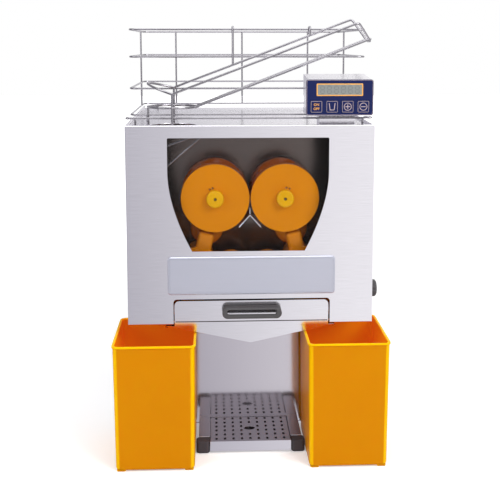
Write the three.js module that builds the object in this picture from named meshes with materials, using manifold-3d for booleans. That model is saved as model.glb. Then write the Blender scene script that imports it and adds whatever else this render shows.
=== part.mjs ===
// An automatic counter-top orange juicer, in millimetres, +Z up, front towards -Y.
// The origin is the middle of its footprint, on the surface that it stands on.
import * as THREE from 'three';
import { mergeVertices } from 'three/addons/utils/BufferGeometryUtils.js';
import Module from 'manifold-3d';

const wasm = await Module();
wasm.setup();

// Shared values
const clearance = 0.3; // between pieces that touch
const overrun = 1; // how far a cut runs past the face that it cuts
const sheet = 2; // stainless sheet
const pinRadius = 1.8;
const drumSides = 48;
const roundSides = 24;
const smallSides = 12;
const ballSides = 12;
const ballRings = 8;
const cornerSteps = 2; // steps in a rounded corner
const outlineSteps = 5; // steps in a curve of the window's outline
const bendSteps = 3; // steps in a bend of wire
const wireSides = 6;

// Housing
const housingHalfWidth = 210.5;
const housingFrontY = -210;
const housingRearY = 270;
const housingBottomZ = 239;
const housingFrontTopZ = 582;
const housingTopRise = 5; // the sides climb this much from front to back
const columnFrontY = -76; // the lower part stands this far back, behind the jug
const seamWidth = 4.3; // open seam behind the cover's edge

// Front cover, window and name plate
const coverDepth = 14;
const windowCentreX = -3.5;
const windowTopHalf = 136.7;
const windowFootHalf = 96.2;
const windowTopZ = 561;
const windowShoulderZ = 504;
const windowFootZ = 367;
const windowBendShares = [0.36, 0.49, 0.277]; // of the shoulder height, the side step and the height again
const windowCornerRadius = 2.5;
const paneLap = 8;
const paneThickness = 3;
const plateCentreX = 1.5;
const plateHalfWidth = 143.5;
const plateBottomZ = 292;
const plateHeight = 66.4;
const plateThickness = 3.5;
const plateCornerRadius = 6;
const hingeInsetX = 4.5; // hinge line in from the cover's left face
const hingeInsetY = 10.5; // and back from its front face
const lugHeight = 3;
const lugInset = 4; // lug from the end of the cover
const lugHalfWidth = 2.2;
const lugSlotReach = 4; // slot in the cover's return, forward of the hinge line
const hingePinInset = 0.5;
const frameStile = 29.5; // width of the frame beside its opening
const frameTopBar = 9;
const coverTab = 24; // tab behind the cover's right edge, that the clamp screw meets
const coverTabInset = 3; // its outer face in from the cover's side
const coverTabHeight = 24;
const clampKnobZ = 292;
const clampKnobBack = 32; // clamp screw behind the cover's front face
const clampKnobRadius = 15;
const clampKnobLength = 11.5;
const clampKnobRim = 2.5;
const clampScrewRadius = 4;

// Juicing drums
const cupAxisX = 60;
const cupAxisZ = 455;
const gearCentres = 120; // between two meshed shafts
const ballAxisX = 88;
const drumMidY = -133.7;
const drumLength = 100;
const drumRadius = 59;
const pocketCount = 4;
const pocketRadius = 37;
const pocketCentre = 63;
const ballRadius = 29;
const ballCentre = 57;
const ballHubRadius = 24;
const ballFlangeRadius = 31;
const ballFlangeLength = 12;
const neckRadius = 13;
const spokeWidth = 27.7;
const spokeReach = 57.5;
const discThickness = 6;
const drumKnobRadius = 15;
const drumKnobLength = 11.7;
const drumKnobRim = 2;
const dimpleRadius = 2.5;
const dimpleDepth = 2;
const shaftRadius = 10;
const shaftTipRadius = 4.5;
const shaftTipLength = 7;

// Gear case, gears and motor
const backPlateY = -78; // front face of the drums' back plate
const backPlateThickness = 3;
const bossProud = 1.5; // bosses in front of the back plate
const bossRadius = 18;
const bossGap = 0.4;
const caseRearY = -31;
const caseWall = 8;
const caseOuterRadius = 74;
const caseInnerRadius = 68;
const gearModule = 6;
const gearTeeth = 20;
const pinionTeeth = 8;
const gearRearY = -39;
const gearWidth = 16;
const caseSides = 16;
const toothTipShare = 0.13; // half a tooth at its tip, of the tooth pitch
const toothRootShare = 0.28; // and at its root
const toothDipShare = 1.25; // depth below the pitch line, of the module
const pinionAngle = 150; // degrees round the left cup shaft
const pinionWall = 5;
const pinionShaftRadius = 8;
const pinionShaftLength = 30;
const motorPlate = 6;
const gearboxRadius = 45;
const gearboxLength = 64;
const motorRadius = 55;
const motorLength = 120;
const motorCapRadius = 50;
const motorCapLength = 14;

// Knife, peel chutes and drop guide
const knifeApexZ = 426;
const knifeArmX = 19;
const knifeArmZ = 405;
const knifeSheet = 2.5;
const knifeFront = 3; // knife in from the drums' front
const bladeThickness = 1.8;
const bladeHeight = 13.5;
const bladeBevelShare = 0.5; // of the blade's height
const chuteTopOut = 38; // upper edge, out from the ball axis
const chuteTopZ = 257;
const chuteGap = 5.2; // between the chute and the wall beside the juice tray
const chuteBendZ = 244;
const chuteFootZ = 232;
const ejectorThickness = 9;
const ejectorGap = 3;
const ejectorShares = [0.95, 0.9, 0.2]; // of the hub gap in X, the hub gap in Z, and the chute's climb
const guideRadius = 1.75;
const guideY = -185;
const guideApexX = -72;
const guideApexZ = 570;
const guideUpperX = -176;
const guideUpperZ = 533;
const guideLowerX = -151;
const guideLowerZ = 503;
const guideBend = 8;

// Drawer with the filter, and juice tray
const drawerCentreX = 2;
const drawerHalfWidth = 133.7;
const drawerFrontY = -200;
const drawerBottomZ = 233;
const drawerTopZ = 278;
const drawerCornerRadius = 8;
const drawerRearY = -80.3;
const drawerBodyBottomZ = 236;
const drawerWallTopZ = 247;
const drawerBodyInset = 7.2; // the box is narrower than its front by this on each side
const drawerLedge = 9;
const drawerGap = 1; // between the drawer's front and the cover's edge
const drawerTopGap = 5.5; // and above it
const drawerNotchRadius = 6; // corners of the cover's notch round it
const handleHalfWidth = 51;
const handleBottomZ = 251;
const handleTopZ = 270;
const handleReach = 22;
const handleTopBar = 3;
const handleGripHeight = 7;
const handleGripDepth = 6;
const handleEnd = 8;
const handleEdge = 2.5;
const screenSlots = 9;
const screenSlotShare = 0.35; // slot width of the slot pitch
const screenMargin = 8;
const trayMargin = 12.5; // wider than the drawer's box on its right side
const trayTopZ = 233;
const trayApexZ = 201;
const trayFrontY = -195;
const trayRearY = -80;
const trayLip = 5;
const spoutRadius = 11;
const spoutY = -136;
const railLip = 3.5;
const railDrop = 2;

// Top tray, with its wire rail and feed hole
const topTrayDrop = 5; // tray floor below the sides' top edges
const trayFlange = 12;
const trayFlangeGap = 12; // open corner beside the front flange
const feedX = -131.6;
const feedY = -142;
const feedHoleRadius = 40;
const railWireRadius = 1.75;
const railZ = 592;
const railY = -178;
const railInset = 0.5; // in from the sides
const railReturn = 14;
const railBend = 5;

// Fruit basket
const basketWireRadius = 1.75;
const basketInset = 1; // in from the sides
const basketFrontY = -92;
const basketRearInset = 20; // in from the rear
const basketHeights = [592, 639, 695, 743];
const basketCorner = 14;
const basketPostsX = [-140, 0, 140];
const basketSidePostY = 190;
const basketLegInset = 30.5; // in from the sides

// Feed ramp
const rampWireRadius = 2;
const rampFrontY = -188;
const rampRearY = -102;
const rampFloorYs = [-162, -128];
const rampRingRadius = 43;
const rampRingZ = 610;
const rampGuardLowZ = 633.2;
const rampGuardRearZ = 641;
const rampGuardHighX = 184;
const rampGuardHighZ = 752.8;
const rampGuardLoopZ = 650;
const rampFloorHighX = 208;
const rampFloorHighZ = 726;
const rampEndBend = 6;
const ringSteps = 16;
const hookXs = [-26.8, 110];
const hookDrop = 10;
const hookBend = 3;

// Control box and keys
const controlLeftX = 94;
const controlRightX = 208;
const controlBottomZ = 597.7;
const controlTopZ = 658.2;
const controlFrontY = -205;
const controlRearY = -120;
const controlInset = 3; // the shell in from the panel's ends
const controlRearRise = 7;
const controlPanel = 3;
const controlCorner = 4;
const pedestalInset = 26;
const pedestalFrontY = -168;
const pedestalRearY = -130;
const displayLeftX = 111.4;
const displayRightX = 190.4;
const displayBottomZ = 630.5;
const displayTopZ = 651.7;
const displayCorner = 1.5;
const keyCount = 4;
const keyFirstX = 111.4;
const keyPitch = 26.5;
const keyZ = 612.6;
const keySize = 20.4;
const keyProud = 0.6;
const keyFlange = 1;
const keyFlangeDepth = 1.2;
const keyCorner = 2;

// Base, drip tray and feet
const baseHalfWidth = 92;
const baseFrontY = -198;
const baseTopZ = 22;
const baseBottomZ = 4;
const baseRail = 20;
const baseLip = 7;
const baseRearWall = 7;
const baseFloor = 3;
const rearPlateBottomZ = 6;
const footWidth = 24;
const footProud = 4.3;
const footFront = 1;
const footDepth = 24;
const rearFootRadius = 15;
const rearFootInsetX = 30.5; // in from the sides
const rearFootInsetY = 40; // in from the rear
const panWall = 1.5;
const gridThickness = 2;
const gridSink = 1; // grid below the rails' top
const gridColumns = 9;
const gridRows = 6;
const gridPitchX = 15.1;
const gridPitchY = 18.7;
const gridHoleRadius = 2.4;
const gridHoleSides = 6;
const fingerHoleRadius = 10;

// Waste bins
const binFootGap = 1.2; // between a bin's side and the front foot
const binWidth = 141;
const binFrontY = -270;
const binRearY = -90;
const binHeight = 219.2;
const binDraft = 2;
const binWall = 3;
const binRimHeight = 4;
const binRimReach = 1.5;
const binCorner = 12;
const binFootWidth = 15;
const binFootHeight = 2;

// Rear cover and inlet
const rearInset = 4; // rear panel in from the sides' rear edges
const ventRows = 8;
const ventPitch = 14;
const ventHeight = 5;
const ventHalfWidth = 70;
const ventBottomZ = 420;
const inletX = 150;
const inletZ = 60;
const inletHalfWidth = 14;
const inletHalfHeight = 12;
const inletDepth = 24;
const inletFlange = 5;
const inletFlangeDepth = 2;
const inletRecess = 16;
const inletWall = 3;
const inletBladeHalf = 0.75;

// Derived places
const sideFrontY = housingFrontY + coverDepth + seamWidth;
const innerHalfWidth = housingHalfWidth - sheet - clearance;
const hingeX = -housingHalfWidth + hingeInsetX;
const hingeY = housingFrontY + hingeInsetY;
const drumFrontY = drumMidY - drumLength / 2;
const drumRearY = drumMidY + drumLength / 2;
const discRearY = drumFrontY - clearance;
const discFrontY = discRearY - discThickness;
const drumKnobRearY = discFrontY - clearance;
const bossFrontY = backPlateY - bossProud;
const backPlateRearY = backPlateY + backPlateThickness;
const caseFrontY = backPlateRearY + clearance;
const ballRise = Math.sqrt(gearCentres ** 2 - (ballAxisX - cupAxisX) ** 2);
const ballAxisZ = cupAxisZ - ballRise;
// From the left cup shaft to the left ball shaft
const meshAngle = Math.atan2(-ballRise, cupAxisX - ballAxisX);
const pinionReach = gearModule * (gearTeeth + pinionTeeth) / 2;
const pinionX = -cupAxisX + pinionReach * Math.cos(THREE.MathUtils.degToRad(pinionAngle));
const pinionZ = cupAxisZ + pinionReach * Math.sin(THREE.MathUtils.degToRad(pinionAngle));
const motorPlateY = caseRearY + clearance;
const bellyTopZ = housingBottomZ + sheet;
const rearPanelY = housingRearY - rearInset; // its outer face
const frameHalfOpening = housingHalfWidth - frameStile;
const railHalfWidth = housingHalfWidth - railInset;
const basketHalfWidth = housingHalfWidth - basketInset;
const basketRearY = housingRearY - basketRearInset;
const basketLegX = housingHalfWidth - basketLegInset;
const rearFootX = housingHalfWidth - rearFootInsetX;
const rearFootY = housingRearY - rearFootInsetY;
const drawerBodyHalf = drawerHalfWidth - drawerBodyInset;
const trayHalfWidth = drawerCentreX + drawerBodyHalf + trayMargin;
const trayWallX = trayHalfWidth + trayLip + clearance; // wall beside the juice tray
const chuteTopX = ballAxisX + chuteTopOut;
const chuteBendX = trayWallX + sheet + chuteGap;
const binInnerX = baseHalfWidth + footProud + binFootGap - binDraft - binRimReach;
const binOuterX = binInnerX + binWidth;
const sideSlope = housingTopRise / (housingRearY - sideFrontY);

function sideTopZ(y) {
  return housingFrontTopZ + (y - sideFrontY) * sideSlope;
}

function trayFloorZ(y) {
  return sideTopZ(y) - topTrayDrop;
}

// Shape helpers: each returns a solid that can be joined and cut
function solidOf(geometry) {
  const bare = geometry.index ? geometry.toNonIndexed() : geometry.clone();
  bare.deleteAttribute('normal');
  bare.deleteAttribute('uv');
  const merged = mergeVertices(bare);
  return new wasm.Manifold(new wasm.Mesh({
    numProp: 3,
    vertProperties: merged.attributes.position.array,
    triVerts: new Uint32Array(merged.index.array),
  }));
}

function geometryOf(solid) {
  const mesh = solid.getMesh();
  const geometry = new THREE.BufferGeometry();
  geometry.setAttribute('position', new THREE.BufferAttribute(mesh.vertProperties, 3));
  geometry.setIndex(new THREE.BufferAttribute(mesh.triVerts, 1));
  geometry.computeVertexNormals();
  return geometry;
}

function joined(solids) {
  return solids.reduce((whole, solid) => whole.add(solid));
}

function block(x0, x1, y0, y1, z0, z1) {
  const geometry = new THREE.BoxGeometry(x1 - x0, y1 - y0, z1 - z0);
  geometry.translate((x0 + x1) / 2, (y0 + y1) / 2, (z0 + z1) / 2);
  return solidOf(geometry);
}

function rodY(x, z, radius, y0, y1, sides = roundSides) {
  const geometry = new THREE.CylinderGeometry(radius, radius, y1 - y0, sides);
  geometry.translate(x, (y0 + y1) / 2, z);
  return solidOf(geometry);
}

function rodZ(x, y, radius, z0, z1, sides = roundSides) {
  const geometry = new THREE.CylinderGeometry(radius, radius, z1 - z0, sides);
  geometry.rotateX(Math.PI / 2);
  geometry.translate(x, y, (z0 + z1) / 2);
  return solidOf(geometry);
}

function rodX(y, z, radius, x0, x1, sides = roundSides) {
  const geometry = new THREE.CylinderGeometry(radius, radius, x1 - x0, sides);
  geometry.rotateZ(Math.PI / 2);
  geometry.translate((x0 + x1) / 2, y, z);
  return solidOf(geometry);
}

function ballAt(x, y, z, radius) {
  const geometry = new THREE.SphereGeometry(radius, ballSides, ballRings);
  geometry.translate(x, y, z);
  return solidOf(geometry);
}

// Radius of a faceted bore whose flats clear a turning shaft
function boreFor(radius) {
  return (radius + clearance) / Math.cos(Math.PI / smallSides);
}

// A profile of [radius, y] points turned round a line along Y
function turnedY(x, z, profile, sides = roundSides) {
  const points = profile.map(([radius, y]) => new THREE.Vector2(radius, y));
  const geometry = new THREE.LatheGeometry(points, sides);
  geometry.translate(x, 0, z);
  return solidOf(geometry);
}

function shapeOf(points) {
  return new THREE.Shape(points.map(([a, b]) => new THREE.Vector2(a, b)));
}

function roundedShape(x0, x1, y0, y1, radius) {
  const shape = new THREE.Shape();
  shape.absarc(x1 - radius, y0 + radius, radius, -Math.PI / 2, 0);
  shape.absarc(x1 - radius, y1 - radius, radius, 0, Math.PI / 2);
  shape.absarc(x0 + radius, y1 - radius, radius, Math.PI / 2, Math.PI);
  shape.absarc(x0 + radius, y0 + radius, radius, Math.PI, Math.PI * 1.5);
  return shape;
}

function extruded(shape, depth, curveSegments) {
  return new THREE.ExtrudeGeometry(shape, { depth, bevelEnabled: false, curveSegments });
}

// A shape drawn in X and Z, carried along Y
function slabY(shape, y0, y1, steps = cornerSteps) {
  const geometry = extruded(shape, y1 - y0, steps);
  geometry.rotateX(Math.PI / 2);
  geometry.translate(0, y1, 0);
  return solidOf(geometry);
}

// A shape drawn in X and Y, carried up Z
function slabZ(shape, z0, z1, steps = cornerSteps) {
  const geometry = extruded(shape, z1 - z0, steps);
  geometry.translate(0, 0, z0);
  return solidOf(geometry);
}

// A shape drawn in Y and Z, carried along X
function slabX(shape, x0, x1) {
  const geometry = extruded(shape, x1 - x0, cornerSteps);
  const turn = new THREE.Matrix4().makeBasis(
    new THREE.Vector3(0, 1, 0), new THREE.Vector3(0, 0, 1), new THREE.Vector3(1, 0, 0));
  geometry.applyMatrix4(turn);
  geometry.translate(x0, 0, 0);
  return solidOf(geometry);
}

// A wire's route: its rings stand exactly on its points, square to the bend there
class WireRoute extends THREE.Curve {
  constructor(points) {
    super();
    this.points = points;
  }

  getPoint(t) {
    const place = t * (this.points.length - 1);
    const index = Math.min(Math.floor(place), this.points.length - 2);
    return this.points[index].clone().lerp(this.points[index + 1], place - index);
  }

  getPointAt(u) {
    return this.getPoint(u);
  }

  getTangentAt(u) {
    const index = Math.round(u * (this.points.length - 1));
    const here = this.points[index];
    const tangent = new THREE.Vector3();
    if (index > 0) tangent.add(here.clone().sub(this.points[index - 1]).normalize());
    if (index < this.points.length - 1) tangent.add(this.points[index + 1].clone().sub(here).normalize());
    return tangent.normalize();
  }
}

function wireAlong(points, radius) {
  const section = new THREE.Shape();
  for (let side = 0; side < wireSides; side += 1) {
    const angle = side * 2 * Math.PI / wireSides;
    const [x, y] = [radius * Math.cos(angle), radius * Math.sin(angle)];
    if (side === 0) section.moveTo(x, y);
    else section.lineTo(x, y);
  }
  const geometry = new THREE.ExtrudeGeometry(section, {
    steps: points.length - 1,
    bevelEnabled: false,
    extrudePath: new WireRoute(points),
  });
  return solidOf(geometry);
}

// Straight runs between corners, with each inner corner bent to a radius
function bentPoints(corners, radius) {
  const points = [corners[0]];
  for (let i = 1; i < corners.length - 1; i += 1) {
    const back = corners[i - 1].clone().sub(corners[i]);
    const ahead = corners[i + 1].clone().sub(corners[i]);
    const reach = Math.min(radius, back.length() / 2, ahead.length() / 2);
    const start = corners[i].clone().addScaledVector(back.normalize(), reach);
    const end = corners[i].clone().addScaledVector(ahead.normalize(), reach);
    const bend = new THREE.QuadraticBezierCurve3(start, corners[i], end);
    points.push(...bend.getPoints(bendSteps));
  }
  points.push(corners[corners.length - 1]);
  return points;
}

function bentWire(corners, bend, radius) {
  return wireAlong(bentPoints(corners.map((corner) => new THREE.Vector3(...corner)), bend), radius);
}

// Gear with straight-flanked teeth; one tooth points at the given angle
function gearShape(teeth, toothAngle, boreRadius) {
  const pitchRadius = gearModule * teeth / 2;
  const tip = pitchRadius + gearModule;
  const root = pitchRadius - gearModule * toothDipShare;
  const pitch = 2 * Math.PI / teeth;
  const shape = new THREE.Shape();
  for (let tooth = 0; tooth < teeth; tooth += 1) {
    const middle = toothAngle + tooth * pitch;
    const flank = [[root, -toothRootShare], [tip, -toothTipShare],
      [tip, toothTipShare], [root, toothRootShare]];
    flank.forEach(([radius, share], corner) => {
      const angle = middle + share * pitch;
      const [x, y] = [radius * Math.cos(angle), radius * Math.sin(angle)];
      if (tooth === 0 && corner === 0) shape.moveTo(x, y);
      else shape.lineTo(x, y);
    });
  }
  if (boreRadius > 0) {
    const bore = new THREE.Path();
    bore.absarc(0, 0, boreRadius, 0, 2 * Math.PI, true);
    shape.holes.push(bore);
  }
  return shape;
}

// Where the meshing tooth of the driven gear points, for a driver with a tooth at the given angle
function meshedAngle(driverTooth, driverTeeth, drivenTeeth, direction) {
  return direction + Math.PI + Math.PI / drivenTeeth - (driverTooth - direction) * driverTeeth / drivenTeeth;
}

const finishes = {
  steel: { color: 0xc9c7cf, roughness: 0.3, metalness: 1 },
  darkSteel: { color: 0x8d8b92, roughness: 0.4, metalness: 1 },
  chrome: { color: 0xd8d8dc, roughness: 0.12, metalness: 1 },
  yellow: { color: 0xe9b01c, roughness: 0.45, metalness: 0 },
  knobYellow: { color: 0xf0cf28, roughness: 0.4, metalness: 0 },
  amber: { color: 0xb5602a, roughness: 0.35, metalness: 0 },
  binOrange: { color: 0xf3a211, roughness: 0.5, metalness: 0 },
  black: { color: 0x1a181b, roughness: 0.5, metalness: 0 },
  rubber: { color: 0x242226, roughness: 0.8, metalness: 0 },
  clear: { color: 0xdfe6e8, roughness: 0.05, metalness: 0, transparent: true, opacity: 0.3 },
  plate: { color: 0xd6dae4, roughness: 0.3, metalness: 0.2 },
  cast: { color: 0x9a9da2, roughness: 0.6, metalness: 0.8 },
  motorGrey: { color: 0x5b5f66, roughness: 0.6, metalness: 0.4 },
  brass: { color: 0xb7995a, roughness: 0.35, metalness: 1 },
  blue: { color: 0x1d2f7a, roughness: 0.35, metalness: 0 },
  display: { color: 0x8b918f, roughness: 0.2, metalness: 0 },
};

const juicer = new THREE.Group();

function add(name, solid, finish) {
  const mesh = new THREE.Mesh(geometryOf(solid), new THREE.MeshStandardMaterial(finishes[finish]));
  mesh.name = name;
  juicer.add(mesh);
}

// Base: a tongue under the jug and a plate under the machine
function makeBase() {
  const tongue = block(-baseHalfWidth, baseHalfWidth, baseFrontY, columnFrontY, baseBottomZ, baseTopZ);
  const pocketHalf = baseHalfWidth - baseRail;
  const pocket = block(-pocketHalf, pocketHalf, baseFrontY + baseLip, columnFrontY - baseRearWall,
    baseBottomZ + baseFloor, baseTopZ + overrun);
  const rearPlate = block(-innerHalfWidth, innerHalfWidth, columnFrontY, housingRearY,
    rearPlateBottomZ, rearPlateBottomZ + baseFloor);
  let base = tongue.add(rearPlate).subtract(pocket);
  for (const side of [-1, 1]) {
    const inner = side * (baseHalfWidth + footProud - footWidth - clearance);
    const outer = side * (baseHalfWidth + overrun);
    base = base.subtract(block(Math.min(inner, outer), Math.max(inner, outer), baseFrontY - overrun,
      baseFrontY - footFront + footDepth + clearance, baseBottomZ - overrun, baseTopZ + overrun));
  }
  add('base_plate', base, 'steel');
  for (const [side, name] of [[-1, 'front_foot_left'], [1, 'front_foot_right']]) {
    const outer = side * (baseHalfWidth + footProud);
    const inner = side * (baseHalfWidth + footProud - footWidth);
    add(name, block(Math.min(inner, outer), Math.max(inner, outer), baseFrontY - footFront,
      baseFrontY - footFront + footDepth, 0, baseTopZ), 'rubber');
  }
  for (const [side, name] of [[-1, 'rear_foot_left'], [1, 'rear_foot_right']]) {
    add(name, rodZ(side * rearFootX, rearFootY, rearFootRadius, 0, rearPlateBottomZ - clearance), 'rubber');
  }
}

// Drip pan in the base's pocket, and the perforated grid on it
function makeDripTray() {
  const halfWidth = baseHalfWidth - baseRail - clearance;
  const frontY = baseFrontY + baseLip + clearance;
  const rearY = columnFrontY - baseRearWall - clearance;
  const bottomZ = baseBottomZ + baseFloor + clearance;
  const gridTop = baseTopZ - gridSink;
  const gridBottom = gridTop - gridThickness;
  const panTop = gridBottom - clearance;
  const pan = block(-halfWidth, halfWidth, frontY, rearY, bottomZ, panTop).subtract(
    block(-halfWidth + panWall, halfWidth - panWall, frontY + panWall, rearY - panWall,
      bottomZ + panWall, panTop + overrun));
  add('drip_pan', pan, 'darkSteel');

  let grid = block(-halfWidth, halfWidth, frontY, rearY, gridBottom, gridTop);
  const midY = (frontY + rearY) / 2;
  for (let row = 0; row < gridRows; row += 1) {
    for (let column = 0; column < gridColumns; column += 1) {
      const x = (column - (gridColumns - 1) / 2) * gridPitchX;
      const y = midY + (row - (gridRows - 1) / 2) * gridPitchY;
      const nearFinger = Math.hypot(x, y - midY) < fingerHoleRadius + gridHoleRadius + clearance;
      if (nearFinger) continue;
      grid = grid.subtract(rodZ(x, y, gridHoleRadius, gridBottom - overrun, gridTop + overrun,
        gridHoleSides));
    }
  }
  grid = grid.subtract(rodZ(0, midY, fingerHoleRadius, gridBottom - overrun, gridTop + overrun, smallSides));
  add('drip_grid', grid, 'darkSteel');
}

// Housing sheets
function makeHousing() {
  const outline = shapeOf([
    [sideFrontY, housingBottomZ], [columnFrontY, housingBottomZ], [columnFrontY, rearPlateBottomZ],
    [housingRearY, rearPlateBottomZ], [housingRearY, sideTopZ(housingRearY)],
    [sideFrontY, housingFrontTopZ]]);
  add('left_side_panel', slabX(outline, -housingHalfWidth, sheet - housingHalfWidth), 'steel');
  const clampHole = rodX(housingFrontY + clampKnobBack, clampKnobZ, boreFor(clampScrewRadius),
    housingHalfWidth - sheet - overrun, housingHalfWidth + overrun, smallSides);
  add('right_side_panel',
    slabX(outline, housingHalfWidth - sheet, housingHalfWidth).subtract(clampHole), 'steel');

  const rearBottom = rearPlateBottomZ + baseFloor + clearance;
  let rear = block(-innerHalfWidth, innerHalfWidth, rearPanelY - sheet, rearPanelY,
    rearBottom, trayFloorZ(rearPanelY) - sheet - clearance);
  for (let row = 0; row < ventRows; row += 1) {
    const z = ventBottomZ + row * ventPitch;
    for (const side of [-1, 1]) {
      const [near, far] = [side * ventPitch, side * (ventPitch + ventHalfWidth)];
      rear = rear.subtract(block(Math.min(near, far), Math.max(near, far),
        rearPanelY - sheet - overrun, rearPanelY + overrun, z, z + ventHeight));
    }
  }
  const inletHole = block(inletX - inletHalfWidth - clearance, inletX + inletHalfWidth + clearance,
    rearPanelY - sheet - overrun, rearPanelY + overrun,
    inletZ - inletHalfHeight - clearance, inletZ + inletHalfHeight + clearance);
  add('rear_panel', rear.subtract(inletHole), 'steel');

  // The belly under the drums and the column's front, bent from one sheet, with the juice tray's rails
  const belly = block(-innerHalfWidth, innerHalfWidth, sideFrontY, columnFrontY + sheet,
    housingBottomZ, bellyTopZ);
  const column = block(-innerHalfWidth, innerHalfWidth, columnFrontY, columnFrontY + sheet,
    rearPlateBottomZ + baseFloor + clearance, bellyTopZ);
  const drawerHalf = drawerBodyHalf + sheet;
  const drawerCut = block(drawerCentreX - drawerHalf, drawerCentreX + drawerHalf,
    sideFrontY - overrun, drawerRearY + sheet, housingBottomZ - overrun, bellyTopZ + overrun);
  const webInner = trayWallX;
  const peelOuter = innerHalfWidth - clearance;
  let panel = belly.add(column).subtract(drawerCut);
  for (const side of [-1, 1]) {
    const peel = [side * (webInner + sheet), side * (peelOuter - sheet)];
    panel = panel.subtract(block(Math.min(...peel), Math.max(...peel), drawerFrontY + coverDepth,
      backPlateY, housingBottomZ - overrun, bellyTopZ + overrun));
    const web = [side * webInner, side * (webInner + sheet)];
    const lip = [side * (webInner - railLip), side * (webInner + sheet)];
    const lipTop = trayTopZ - sheet - clearance;
    panel = panel.add(block(Math.min(...web), Math.max(...web), trayFrontY + sheet, trayRearY,
      lipTop - railDrop, housingBottomZ + overrun));
    panel = panel.add(block(Math.min(...lip), Math.max(...lip), trayFrontY + sheet, trayRearY,
      lipTop - railDrop, lipTop));
  }
  add('lower_panel', panel, 'steel');

  // Frame behind the cover, with the two hinge lugs and their pins
  const frameFront = sideFrontY + sheet + clearance;
  const frameTop = trayFloorZ(frameFront) - sheet - clearance;
  let frame = block(-innerHalfWidth, innerHalfWidth, frameFront, frameFront + sheet,
    bellyTopZ + clearance, frameTop);
  frame = frame.subtract(block(-frameHalfOpening, frameHalfOpening, frameFront - overrun,
    frameFront + sheet + overrun, bellyTopZ, frameTop - frameTopBar));
  const lowerLug = housingBottomZ + lugInset;
  const upperLug = housingFrontTopZ - 2 * lugInset - lugHeight;
  for (const bottom of [lowerLug, upperLug]) {
    frame = frame.add(block(hingeX - lugHalfWidth, hingeX + lugHalfWidth, hingeY - lugHalfWidth,
      frameFront + sheet, bottom, bottom + lugHeight));
  }
  frame = frame.add(rodZ(hingeX, hingeY, pinRadius, housingBottomZ + hingePinInset,
    lowerLug + lugHeight, smallSides));
  frame = frame.add(rodZ(hingeX, hingeY, pinRadius, upperLug, housingFrontTopZ - hingePinInset, smallSides));
  const tabTop = clampKnobZ + coverTabHeight / 2 + coverTabInset;
  const tabFoot = clampKnobZ - coverTabHeight / 2 - coverTabInset;
  const tabInner = housingHalfWidth - 2 * coverTabInset - sheet;
  frame = frame.subtract(block(tabInner, housingHalfWidth, frameFront - overrun, frameFront + sheet + overrun,
    tabFoot, tabTop));
  add('front_frame', frame, 'steel');
}

// Top tray: sloping floor, flanges turned down inside the housing, feed hole and a welded wire rail
function makeTopTray() {
  const floor = slabX(shapeOf([
    [sideFrontY, trayFloorZ(sideFrontY) - sheet], [housingRearY, trayFloorZ(housingRearY) - sheet],
    [housingRearY, trayFloorZ(housingRearY)], [sideFrontY, trayFloorZ(sideFrontY)]]),
  -innerHalfWidth, innerHalfWidth);
  const flangeFoot = trayFloorZ(sideFrontY) - trayFlange;
  const flangeHead = trayFloorZ(sideFrontY) - sheet / 2;
  const frontHalf = innerHalfWidth - trayFlangeGap;
  let tray = floor.add(block(-frontHalf, frontHalf, sideFrontY, sideFrontY + sheet, flangeFoot, flangeHead));
  const flangeFrontY = backPlateRearY + clearance;
  const flangeRearY = rearPanelY - sheet - clearance;
  const sideFlange = shapeOf([
    [flangeFrontY, flangeFoot], [flangeRearY, flangeFoot],
    [flangeRearY, trayFloorZ(flangeRearY) - sheet / 2],
    [flangeFrontY, trayFloorZ(flangeFrontY) - sheet / 2]]);
  tray = tray.add(slabX(sideFlange, -innerHalfWidth, sheet - innerHalfWidth));
  tray = tray.add(slabX(sideFlange, innerHalfWidth - sheet, innerHalfWidth));
  tray = tray.subtract(rodZ(feedX, feedY, feedHoleRadius, flangeFoot, trayFloorZ(feedY) + overrun));
  const half = railHalfWidth;
  const stand = half - railReturn;
  const foot = (y) => trayFloorZ(y) - sheet / 2;
  const backY = railY + railReturn;
  const rail = bentWire([
    [-stand, backY, foot(backY)], [-stand, backY, railZ], [-half, backY, railZ], [-half, railY, railZ],
    [half, railY, railZ], [half, backY, railZ], [stand, backY, railZ], [stand, backY, foot(backY)],
  ], railBend, railWireRadius);
  add('top_tray', tray.add(rail), 'steel');
}

// Window outline, grown by a margin; drawn in X and Z
function windowShape(margin) {
  const topHalf = windowTopHalf + margin;
  const footHalf = windowFootHalf + margin;
  const top = windowTopZ + margin;
  const foot = windowFootZ - margin;
  const radius = windowCornerRadius + margin;
  const fall = windowShoulderZ - foot;
  const [upperShare, stepShare, lowerShare] = windowBendShares;
  const bendX = footHalf + (topHalf - footHalf) * stepShare;
  const shape = new THREE.Shape();
  shape.moveTo(windowCentreX - footHalf, foot);
  shape.lineTo(windowCentreX + footHalf, foot);
  shape.bezierCurveTo(windowCentreX + bendX, foot + fall * lowerShare,
    windowCentreX + topHalf, windowShoulderZ - fall * upperShare, windowCentreX + topHalf, windowShoulderZ);
  shape.absarc(windowCentreX + topHalf - radius, top - radius, radius, 0, Math.PI / 2);
  shape.absarc(windowCentreX - topHalf + radius, top - radius, radius, Math.PI / 2, Math.PI);
  shape.lineTo(windowCentreX - topHalf, windowShoulderZ);
  shape.bezierCurveTo(windowCentreX - topHalf, windowShoulderZ - fall * upperShare,
    windowCentreX - bendX, foot + fall * lowerShare, windowCentreX - footHalf, foot);
  return shape;
}

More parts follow.
